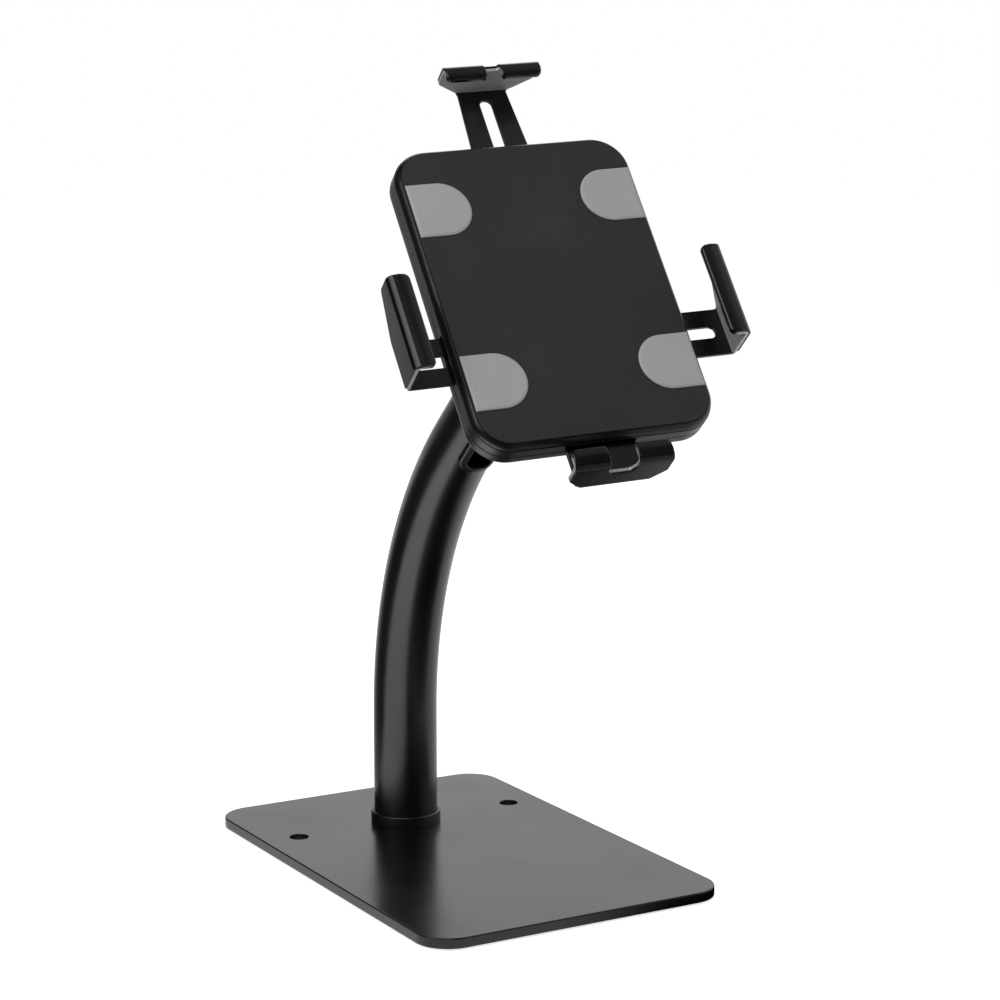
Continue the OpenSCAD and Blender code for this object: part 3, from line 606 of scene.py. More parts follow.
# Frames
@dataclass(frozen=True)
class Place:
    """A frame in millimetres within the row frame, which is in metres."""

    matrix: Matrix

    def turned(self, degrees: float) -> "Place":
        """The same frame turned about its own Z axis."""
        return Place(self.matrix @ Matrix.Rotation(math.radians(degrees), 4, "Z"))

    def moved(self, x: float, y: float, z: float) -> "Place":
        """The same frame moved along its own axes."""
        return Place(self.matrix @ Matrix.Translation((x, y, z)))

    def flipped(self) -> "Place":
        """The same frame mirrored across its own X axis."""
        return Place(self.matrix @ Matrix.Diagonal((-1, 1, 1, 1)))

    def local_box(self, node: str) -> tuple[Vector, Vector]:
        """The corners of a solid, measured in this frame.

        Args:
            node: The solid's name.

        Returns:
            Its lowest and its highest corner, in millimetres.
        """
        back = self.matrix.inverted()
        points = [back @ vertex.co for vertex in frame["nodes"][node].data.vertices]
        low = Vector(min(p[i] for p in points) for i in range(3))
        high = Vector(max(p[i] for p in points) for i in range(3))
        return low, high

    def middle_of(self, node: str) -> "Place":
        """This frame moved along X and Y to the middle of a solid."""
        low, high = self.local_box(node)
        return self.moved((low.x + high.x) / 2, (low.y + high.y) / 2, 0)


def head_place() -> Place:
    """The head's frame: X to the right, Y to the top, Z to the user, from the middle of the pads.

    Returns:
        The frame, read from the joints of the turntable and of the top arm.
    """
    joints = {joint["name"]: joint for joint in frame["joints"]}
    normal = Vector(joints["head_turn"]["axis"]).normalized()
    up = -Vector(joints["top_arm_slide"]["axis"]).normalized()
    right = up.cross(normal)
    turn = Matrix((right, up, normal)).transposed().to_4x4()
    middle = Vector(joints["head_turn"]["pos_m"])
    return Place(Matrix.Translation(middle) @ turn @ Matrix.Scale(MM, 4))


def ground_place() -> Place:
    """The row frame in millimetres."""
    return Place(Matrix.Scale(MM, 4))


# Sheet metal and sleeves
@dataclass(frozen=True)
class Fold:
    """One stretch of a sheet's middle line: straight where it has no turn.

    Attributes:
        length: The length of a straight stretch.
        radius: The radius of a bend at the middle line.
        turn: How far a bend turns to the left, in degrees.
    """

    length: float = 0.0
    radius: float = 0.0
    turn: float = 0.0

    def run(self) -> float:
        """The length of the stretch along the middle line."""
        return self.length if self.turn == 0 else self.radius * math.radians(self.turn)


@dataclass(frozen=True)
class Section:
    """The middle line of a folded sheet, in a plane with X outwards and Z to the user.

    Attributes:
        start: Where the line begins.
        heading: Its first direction, in degrees from X towards Z.
        folds: Its stretches, in order.
        swell: How far the swollen stretch rises to the outer side in its middle.
        swollen: The index of the swollen stretch.
    """

    start: Flat
    heading: float
    folds: tuple[Fold, ...]
    swell: float = 0.0
    swollen: int = -1

    def marks(self) -> list[float]:
        """Where the flat sheet is divided so that it can be folded round.

        Returns:
            The distances along the middle line, in order.
        """
        in_bend, in_swell = 10, 8
        found: list[float] = []
        begin = 0.0
        for index, fold in enumerate(self.folds):
            steps = in_bend if fold.turn else (in_swell if index == self.swollen else 1)
            found += [begin + fold.run() * i / steps for i in range(steps + 1)]
            begin += fold.run()
        return sorted(set(round(mark, 5) for mark in found))

    def at(self, along: float, off: float) -> Flat:
        """The place of a point of the sheet after folding.

        Args:
            along: Its distance along the middle line.
            off: Its distance to the left of the line.

        Returns:
            X and Z.
        """
        x, z = self.start
        angle = math.radians(self.heading)
        for index, fold in enumerate(self.folds):
            last = index == len(self.folds) - 1
            step = along if last else min(along, fold.run())
            if fold.turn and not last:
                turn = step / fold.radius
                cx, cz = x - math.sin(angle) * fold.radius, z + math.cos(angle) * fold.radius
                angle += turn
                x, z = cx + math.sin(angle) * fold.radius, cz - math.cos(angle) * fold.radius
            else:
                if index == self.swollen:
                    share = min(max(step / fold.run(), 0.0), 1.0)
                    off -= self.swell * math.sin(math.pi * share)
                x, z = x + math.cos(angle) * step, z + math.sin(angle) * step
            along -= fold.run()
            if along <= 0:
                break
        return x - math.sin(angle) * off, z + math.cos(angle) * off

    def reach(self, count: int) -> float:
        """The distance along the middle line to the end of that many stretches."""
        return sum(fold.run() for fold in self.folds[:count])


@dataclass(frozen=True)
class Lip:
    """The rounded corners of a lip, seen from the user.

    Attributes:
        start: Where the lip begins along the section.
        run: Its length.
        parts: Its parts along the tablet's edge: first and last place, and the rounding at each.
    """

    start: float
    run: float
    parts: tuple[tuple[float, float, float, float], ...]

    def marks(self) -> list[float]:
        """Where the flat sheet is divided so that its corners can be rounded.

        Returns:
            The places across the sheet, in order.
        """
        found: list[float] = []
        for low, high, first, last in self.parts:
            shares = [1 - math.cos(a) for a in quarter(6)[1:]]
            found += [low + first * share for share in shares] + [high - last * share for share in shares]
        return sorted(found)

    def pull(self, along: float, across: float) -> float:
        """How far a point is drawn back from the straight tip of the lip.

        Args:
            along: Its distance along the section.
            across: Its place along the tablet's edge.

        Returns:
            The distance.
        """
        share = min(max((along - self.start) / self.run, 0.0), 1.0)
        margin = 0.01
        drawn = 0.0
        for low, high, first, last in self.parts:
            if low - margin <= across <= high + margin:
                for radius, inside in ((first, across - low), (last, high - across)):
                    if radius > 0 and inside < radius:
                        drawn = radius - math.sqrt(radius**2 - (radius - max(inside, 0.0)) ** 2)
        return drawn * share


def flat_blank(
    name: str, loops: Sequence[Sequence[Flat]], thickness: float, edge: float
) -> bmesh.types.BMesh:
    """Cut a flat sheet with eased edges.

    Args:
        name: The piece's name.
        loops: The outline and the outlines of the holes.
        thickness: The sheet's thickness.
        edge: The rounding of its edges.

    Returns:
        The sheet, in millimetres, with Z across its thickness.
    """
    curve = bpy.data.curves.new(name, "CURVE")
    curve.dimensions = "2D"
    curve.fill_mode = "BOTH"
    curve.extrude = thickness / 2 - edge
    curve.bevel_depth = edge
    curve.bevel_resolution = 2
    curve.offset = -edge
    for loop in loops:
        spline = curve.splines.new("POLY")
        spline.points.add(len(loop) - 1)
        for point, (x, y) in zip(spline.points, loop):
            point.co = (x, y, 0.0, 1.0)
        spline.use_cyclic_u = True
    blank = linked(name + "_blank", curve)
    mesh = opened(evaluated(blank))
    bpy.data.objects.remove(blank)
    bpy.data.curves.remove(curve)
    bmesh.ops.remove_doubles(mesh, verts=mesh.verts, dist=WELD)
    bmesh.ops.recalc_face_normals(mesh, faces=mesh.faces)
    return mesh


def folded_sheet(
    name: str, outline: Sequence[Flat], holes: Sequence[Sequence[Flat]], thickness: float, edge: float,
    section: Section, place: Place, own_finish_from: float, lip: Lip,
) -> bpy.types.Object:
    """Cut a sheet to its outline with eased edges, and fold it along a section.

    Args:
        name: The piece's name.
        outline: The flat outline: distance along the section, and across it.
        holes: The outlines of its holes.
        thickness: The sheet's thickness.
        edge: The rounding of its edges.
        section: The middle line that it is folded to.
        place: The frame that the section lies in.
        own_finish_from: How far along the section the edges and the inner side get their own finish.
        lip: The rounding of its lip.

    Returns:
        The piece. From there on its edges are in the second material slot and its inner side in the third.
    """
    mesh = flat_blank(name, (outline, *holes), thickness, edge)
    upright = 0.75  # faces that lean more than this towards Z are the sheet's two sides
    for mark in section.marks():
        whole = [*mesh.verts, *mesh.edges, *mesh.faces]
        bmesh.ops.bisect_plane(mesh, geom=whole, dist=WELD, plane_co=(mark, 0, 0), plane_no=(1, 0, 0))
    for mark in lip.marks():
        faces = [face for face in mesh.faces if face.calc_center_median().x > lip.start]
        around = dict.fromkeys(part for face in faces for part in (*face.edges, *face.verts))
        bmesh.ops.bisect_plane(
            mesh, geom=[*faces, *around], dist=WELD, plane_co=(0, mark, 0), plane_no=(0, 1, 0)
        )
    for face in mesh.faces:
        if face.calc_center_median().x > own_finish_from:
            side = 2 if face.normal.z > 0 else 0
            face.material_index = 1 if abs(face.normal.z) < upright else side
    for vert in mesh.verts:
        x, z = section.at(vert.co.x, vert.co.z)
        vert.co = place.matrix @ Vector((x + lip.pull(vert.co.x, vert.co.y), vert.co.y, z))
    bmesh.ops.recalc_face_normals(mesh, faces=mesh.faces)
    return new_object(name, mesh)


# Geometry Nodes
class Repeat(Enum):
    """Where a repeated piece is set."""

    RING = "ring"
    ROW = "row"
    CORNERS = "corners"


def sockets(tree: bpy.types.NodeTree, wanted: dict[str, str]) -> None:
    """Give a tree its named inputs and a geometry output.

    Args:
        tree: The tree.
        wanted: The inputs' names and their socket types.
    """
    for name, kind in wanted.items():
        tree.interface.new_socket(name, in_out="INPUT", socket_type=kind)
    tree.interface.new_socket("Geometry", in_out="OUTPUT", socket_type="NodeSocketGeometry")


def run_tree(host: bpy.types.Object, tree: bpy.types.NodeTree, values: dict[str, object]) -> bpy.types.Mesh:
    """Run a tree on an object and keep what it makes as a plain mesh.

    Args:
        host: The object that carries the modifier; it is removed.
        tree: The tree.
        values: What goes into its named inputs.

    Returns:
        The mesh.
    """
    modifier = host.modifiers.new("nodes", "NODES")
    modifier.node_group = tree
    for item in tree.interface.items_tree:
        if item.in_out == "INPUT" and item.name in values:
            modifier[item.identifier] = values[item.name]
    mesh = evaluated(host)
    bpy.data.objects.remove(host)
    return mesh


def finish_tree(tree: bpy.types.NodeTree, made: bpy.types.NodeSocket, source: bpy.types.Node) -> None:
    """End a tree in real meshes with their material.

    Args:
        tree: The tree.
        made: The geometry that it has made.
        source: Its group input, which has the input Material.
    """
    real = add_node(tree, "GeometryNodeRealizeInstances", {0: made}).outputs[0]
    coated = add_node(
        tree, "GeometryNodeSetMaterial", {"Geometry": real, "Material": source.outputs["Material"]}
    ).outputs["Geometry"]
    add_node(tree, "NodeGroupOutput", {"Geometry": coated})


def repeat_tree(kind: Repeat) -> bpy.types.NodeTree:
    """A tree that sets copies of a piece on a ring, in a row or at four corners, each turned with its place.

    Args:
        kind: Where the copies go.

    Returns:
        The tree, with the inputs Piece, Count, Width, Height, Turn and Material.
    """
    tree = bpy.data.node_groups.new(f"repeat on {kind.value}", "GeometryNodeTree")
    sockets(tree, {"Piece": "NodeSocketObject", "Count": "NodeSocketInt", "Width": "NodeSocketFloat",
                   "Height": "NodeSocketFloat", "Turn": "NodeSocketFloat", "Material": "NodeSocketMaterial"})
    source = add_node(tree, "NodeGroupInput")
    given = source.outputs
    half = add_node(tree, "ShaderNodeMath", {0: given["Width"], 1: 0.5}, operation="MULTIPLY").outputs[0]
    if kind is Repeat.RING:
        spots = add_node(
            tree, "GeometryNodeMeshCircle", {"Vertices": given["Count"], "Radius": half}
        ).outputs[0]
    elif kind is Repeat.ROW:
        last = add_node(tree, "ShaderNodeCombineXYZ", {"X": half}).outputs[0]
        first = add_node(tree, "ShaderNodeVectorMath", {0: last, "Scale": -1.0}, operation="SCALE").outputs[0]
        spots = add_node(
            tree, "GeometryNodeMeshLine", {"Count": given["Count"], 2: first, 3: last}, mode="END_POINTS"
        ).outputs[0]
    else:
        spots = add_node(
            tree, "GeometryNodeMeshGrid",
            {"Size X": given["Width"], "Size Y": given["Height"], "Vertices X": 2, "Vertices Y": 2},
        ).outputs[0]
    index = add_node(tree, "GeometryNodeInputIndex").outputs[0]
    turn = add_node(tree, "ShaderNodeMath", {0: index, 1: given["Turn"]}, operation="MULTIPLY").outputs[0]
    spin = add_node(tree, "ShaderNodeCombineXYZ", {"Z": turn}).outputs[0]
    piece = add_node(tree, "GeometryNodeObjectInfo", {"Object": given["Piece"]})
    copies = add_node(
        tree, "GeometryNodeInstanceOnPoints",
        {"Points": spots, "Instance": piece.outputs["Geometry"], "Rotation": spin},
    ).outputs[0]
    finish_tree(tree, copies, source)
    return tree


def tube_tree() -> bpy.types.NodeTree:
    """A tree that sweeps a round section along the curve that carries it.

    Returns:
        The tree, with the inputs Path, Radius, Sides and Material.
    """
    tree = bpy.data.node_groups.new("tube along path", "GeometryNodeTree")
    sockets(tree, {"Path": "NodeSocketGeometry", "Radius": "NodeSocketFloat", "Sides": "NodeSocketInt",
                   "Material": "NodeSocketMaterial"})
    source = add_node(tree, "NodeGroupInput")
    ring = add_node(
        tree, "GeometryNodeCurvePrimitiveCircle",
        {"Resolution": source.outputs["Sides"], "Radius": source.outputs["Radius"]},
    ).outputs["Curve"]
    swept = add_node(
        tree, "GeometryNodeCurveToMesh",
        {"Curve": source.outputs["Path"], "Profile Curve": ring, "Fill Caps": True},
    ).outputs["Mesh"]
    finish_tree(tree, swept, source)
    return tree


def repeated(
    name: str, kind: Repeat, piece: bpy.types.Object, place: Place, material: bpy.types.Material,
    width: float, height: float = 0.0, count: int = 4, turn: float = 0.7,
) -> bpy.types.Object:
    """Set copies of a piece in a pattern.

    Args:
        name: The name of the whole.
        kind: The pattern.
        piece: What is repeated, in millimetres; it is removed.
        place: The frame of the pattern.
        material: Its material.
        width: The ring's diameter, the row's length, or the distance across.
        height: The distance along.
        count: How many on a ring or in a row.
        turn: How far each copy is turned from the one before, in radians.

    Returns:
        The pattern as one piece.
    """
    host = linked(name + "_host", bpy.data.meshes.new(name))
    mesh = run_tree(host, repeat_tree(kind), {"Piece": piece, "Count": count, "Width": width,
                                              "Height": height, "Turn": turn, "Material": material})
    bpy.data.objects.remove(piece)
    mesh.transform(place.matrix)
    whole = opened(mesh)
    bmesh.ops.recalc_face_normals(whole, faces=whole.faces)
    return new_object(name, whole)


# Stand
@dataclass
class Stand:
    """Base plate, collar, pole, cable outlets and the ball at the pole's end.

    Attributes:
        base_radius: Corner radius of the base.
        base_edge: Rounding of its upper edges.
        base_foot: Rounding of its lower edges.
        desk_hole: Diameter of the holes for desk bolts.
        desk_span: Distance between them.
        hole_bevel: Width of the bevel round a hole.
        pole: Outer diameter of the tube.
        wall: Its wall.
        rise: Height of its straight foot.
        bend_radius: Radius of its bend.
        bend: Angle of the bend, in degrees.
        end: Length of its straight upper end.
        sides: Number of sides of the tube and of what is turned.
        play: Play between the tube and what sits on it or in it.
        outlet: Width and length of a cable outlet's opening.
        outlet_corner: Corner radius of the opening.
        window_play: How much wider the tube's window is than the opening, on each side.
        rim: Width of the opening's rim.
        rim_edge: Rounding of the rim's edges.
        proud: Height of the rim above the tube.
        upper: Distance of the upper outlet's middle past the bend.
        lower: Height of the lower outlet's middle above the plate.
        plug: Length of the end fitting within the tube.
        cap: How far the end fitting stands out of the tube.
        neck: Radius of the ball's neck.
        ball_radius: Radius of the ball.
        ball_rise: Distance of the ball's centre from the end fitting.
    """

    workshop: Workshop
    base_radius: float = 20.0
    base_edge: float = 0.8
    base_foot: float = 0.5
    desk_hole: float = 11.0
    desk_span: float = 144.0
    hole_bevel: float = 0.5
    pole: float = 38.0
    wall: float = 2.0
    rise: float = 68.0
    bend_radius: float = 243.0
    bend: float = 46.4
    end: float = 71.0
    sides: int = 96
    play: float = 0.1
    outlet: Flat = (16.0, 30.0)
    outlet_corner: float = 5.0
    window_play: float = 1.0
    rim: float = 4.0
    rim_edge: float = 0.9
    proud: float = 2.2
    upper: float = 14.0
    lower: float = 40.0
    plug: float = 22.0
    cap: float = 3.0
    neck: float = 6.0
    ball_radius: float = 15.0
    ball_rise: float = 21.0
    plate_top: float = field(init=False)

    def __post_init__(self) -> None:
        """Read the height of the plate from the frame."""
        self.plate_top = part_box("base_plate")[1][2] / MM

    def build(self) -> None:
        """Make every piece of the stand."""
        self.base()
        self.collar()
        self.tube()
        self.outlet_rim("upper_cable_outlet", self.upper_outlet(), "upper_grommet")
        self.outlet_rim("lower_cable_outlet", self.lower_outlet(), "lower_grommet")
        self.fitting()
        self.ball()
        kept = {"base_sheet": BASE_RUBBER, "pole_foot": ZINC_STEEL, "foot_screws": ZINC_STEEL,
                "fitting_screws": BLACK_OXIDE}
        for node, finish in kept.items():
            self.workshop.dress_node(node, finish)

    def on_bend(self, angle: float) -> Vector:
        """A point of the tube's middle line in its bend, in millimetres."""
        y = -self.bend_radius * (1 - math.cos(angle))
        return Vector((0, y, self.plate_top + self.rise + self.bend_radius * math.sin(angle)))

    def bend_end(self) -> Place:
        """The frame at the end of the bend.

        Returns:
            A frame with Z along the pole's upper end.
        """
        angle = math.radians(self.bend)
        spot = Matrix.Translation(self.on_bend(angle))
        return Place(ground_place().matrix @ spot @ Matrix.Rotation(angle, 4, "X"))

    def upper_outlet(self) -> Place:
        """The frame of the upper cable outlet, which faces its X axis."""
        return self.bend_end().moved(0, 0, self.upper).turned(-90)

    def lower_outlet(self) -> Place:
        """The frame of the lower cable outlet, which faces its X axis."""
        return ground_place().moved(0, 0, self.plate_top + self.lower).turned(90)

    def base(self) -> None:
        """The steel base plate with eased edges and two bevelled bolt holes."""
        low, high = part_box("base_plate")
        width, length = (high[0] - low[0]) / MM, (high[1] - low[1]) / MM
        bottom, top = low[2] / MM, high[2] / MM
        middle = (high[1] + low[1]) / 2 / MM
        ease, foot = self.base_edge, self.base_foot
        profile = [(foot, bottom), (0.3 * foot, bottom + 0.3 * foot), (0.0, bottom + foot)]
        profile += [(ease - ease * math.cos(a), top - ease + ease * math.sin(a)) for a in quarter(6)]
        ground = ground_place().matrix
        rings = [
            [ground @ Vector((x, y + middle, z)) for x, y in
             rounded_rect(width - 2 * inset, length - 2 * inset, self.base_radius - inset)]
            for inset, z in profile
        ]
        plate = new_object("base_plate_body", loft(rings))
        radius, bevel = self.desk_hole / 2, self.hole_bevel
        drill = [(0, bottom - OVERSHOOT), (radius, bottom - OVERSHOOT), (radius, top - bevel),
                 (radius + 2 * bevel, top + bevel), (0, top + bevel)]
        places = [ground @ Matrix.Translation((side * self.desk_span / 2, 0, 0)) for side in (-1, 1)]
        cut(plate, [new_object("drill", lathe(drill, place, 64)) for place in places])
        self.workshop.hand_over(plate, Body.STAND, ["base_plate"], "black_steel", PLATE_COAT)

    def collar(self) -> None:
        """The low moulded collar round the pole's foot."""
        low, high = (Vector(corner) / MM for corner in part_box("pole_collar"))
        inner, outer = self.pole / 2 + self.play, (high.x - low.x) / 2
        foot_ease, outer_ease, inner_ease = 0.2, 0.9, 0.25
        profile = filleted([(inner, low.z, 0), (outer, low.z, foot_ease), (outer, high.z, outer_ease),
                            (inner, high.z, inner_ease)])
        collar = new_object("foot_collar", lathe(profile, ground_place().matrix, self.sides, closed=True))
        self.workshop.hand_over(collar, Body.STAND, ["pole_collar"], "black_plastic", OUTLET_PLASTIC)

    def path(self, over: float) -> bpy.types.Object:
        """The middle line of the pole.

        Args:
            over: How far it runs on at both ends, in millimetres.

        Returns:
            A curve, in metres.
        """
        steps = 72
        points = [Vector((0, 0, self.plate_top - over)), Vector((0, 0, self.plate_top + self.rise / 2))]
        points += [self.on_bend(math.radians(self.bend) * i / steps) for i in range(steps + 1)]
        end = self.bend_end().matrix
        points += [end @ Vector((0, 0, self.end / 2)) / MM, end @ Vector((0, 0, self.end + over)) / MM]
        curve = bpy.data.curves.new("pole_path", "CURVE")
        curve.dimensions = "3D"
        spline = curve.splines.new("POLY")
        spline.points.add(len(points) - 1)
        for spot, point in zip(spline.points, points):
            spot.co = (*(point * MM), 1.0)
        return linked("pole_path", curve)

    def swept(self, name: str, radius: float, over: float) -> bpy.types.Object:
        """A round bar along the pole's middle line.

        Args:
            name: Its name.
            radius: Its radius.
            over: How far it runs on at both ends.

        Returns:
            The bar.
        """
        steel = self.workshop.materials[POWDER_COAT.name]
        sizes = {"Radius": radius * MM, "Sides": self.sides, "Material": steel}
        bar = opened(run_tree(self.path(over), tube_tree(), sizes))
        bmesh.ops.remove_doubles(bar, verts=bar.verts, dist=WELD * MM)
        bmesh.ops.recalc_face_normals(bar, faces=bar.faces)
        return new_object(name, bar)

    def opening(self, grow: float, corner: int, side: int) -> list[Flat]:
        """The outline of an outlet's opening.

        Args:
            grow: How much wider it is on each side.
            corner: The number of chords in each corner.
            side: The number of chords along each straight side.

        Returns:
            Its points, across the tube and along it.
        """
        width, length = self.outlet
        return rounded_rect(width + 2 * grow, length + 2 * grow, self.outlet_corner + grow, corner, side)

    def window(self, place: Place) -> bpy.types.Object:
        """What is cut out of the tube for a cable outlet.

        Args:
            place: The outlet's frame, which faces its X axis.

        Returns:
            The cutter, which begins near the tube's middle line.
        """
        outline = self.opening(self.window_play, 8, 2)
        rings = [[place.matrix @ Vector((x, y, z)) for y, z in outline] for x in (OVERSHOOT, self.pole)]
        return new_object("window", loft(rings))

    def tube(self) -> None:
        """The bent pole tube, open inside, with a window for each cable outlet."""
        pole = self.swept("pole_tube", self.pole / 2, 0)
        bore = self.swept("bore", self.pole / 2 - self.wall, 1)
        cut(pole, [bore, self.window(self.lower_outlet()), self.window(self.upper_outlet())])
        self.workshop.hand_over(pole, Body.STAND, ["pole"], "black_steel", POWDER_COAT)

    def outlet_rim(self, name: str, place: Place, node: str) -> None:
        """The moulded rim of a cable outlet, wrapped on the tube.

        Args:
            name: The piece's name.
            place: The outlet's frame, which faces its X axis.
            node: The solid that it stands for.
        """
        tube, bore = self.pole / 2, self.pole / 2 - self.wall
        top, ease, wide = tube + self.proud, self.rim_edge, self.rim
        seat, flat_end, throat, liner = tube + 0.05, 1.1, tube - 0.5, 0.8
        profile = [(wide, seat), (wide, top - ease)]
        profile += [(wide - ease * (1 - math.cos(a)), top - ease * (1 - math.sin(a))) for a in quarter(6)[1:]]
        profile += [(flat_end, top)]
        profile += [(ease - ease * math.cos(a), top - ease + ease * math.sin(a)) for a in quarter(5)[::-1]]
        profile += [(0.0, throat), (0.0, bore), (liner, bore), (liner, seat)]
        rings = [
            [place.matrix @ Vector((math.sqrt(max(radius**2 - y**2, 0.0)), y, z))
             for y, z in self.opening(grow, 12, 12)]
            for grow, radius in profile
        ]
        rim = new_object(name, loft(rings, closed=True))
        self.workshop.hand_over(rim, Body.STAND, [node], "black_plastic", OUTLET_PLASTIC, crisp=50)

    def fitting(self) -> None:
        """The turned fitting that closes the pole's upper end."""
        seat = 0.05
        bore, plug, outer = self.neck - 0.9, self.pole / 2 - self.wall - self.play, self.pole / 2 - seat
        low, high = self.end - self.plug, self.end + self.cap
        profile = filleted([
            (bore, low, 0.3), (plug, low, 0.8), (plug, self.end - seat, 0), (outer, self.end, 0.3),
            (outer, high, 0.9), (bore + 6, high, 0), (bore, high, 0.3)], 5)
        turned = lathe(profile, self.bend_end().matrix, self.sides, closed=True)
        piece = new_object("pole_end_fitting", turned)
        self.workshop.hand_over(piece, Body.STAND, ["end_fitting"], "black_steel", POWDER_COAT)

    def ball(self) -> None:
        """The polished ball with its neck, which flares into the ball with a small fillet."""
        high = self.end + self.cap
        centre, radius, neck = high + self.ball_rise, self.ball_radius, self.neck
        joint, low = math.asin((neck + 0.9) / radius), self.end - 20
        foot = centre - radius * math.cos(joint)
        profile = [(0, low), (neck - 1, low), (neck - 1, high), (neck, high), (neck, foot - 1.2),
                   (neck + 0.25, foot - 0.4)]
        around = [joint + (math.pi - joint) * i / 40 for i in range(40)]
        profile += [(radius * math.sin(a), centre - radius * math.cos(a)) for a in around]
        profile += [(0, centre + radius)]
        piece = new_object("ball_with_neck", lathe(profile, self.bend_end().matrix, self.sides))
        self.workshop.hand_over(piece, Body.STAND, ["ball_stud"], "polished_steel", POLISHED_STEEL)


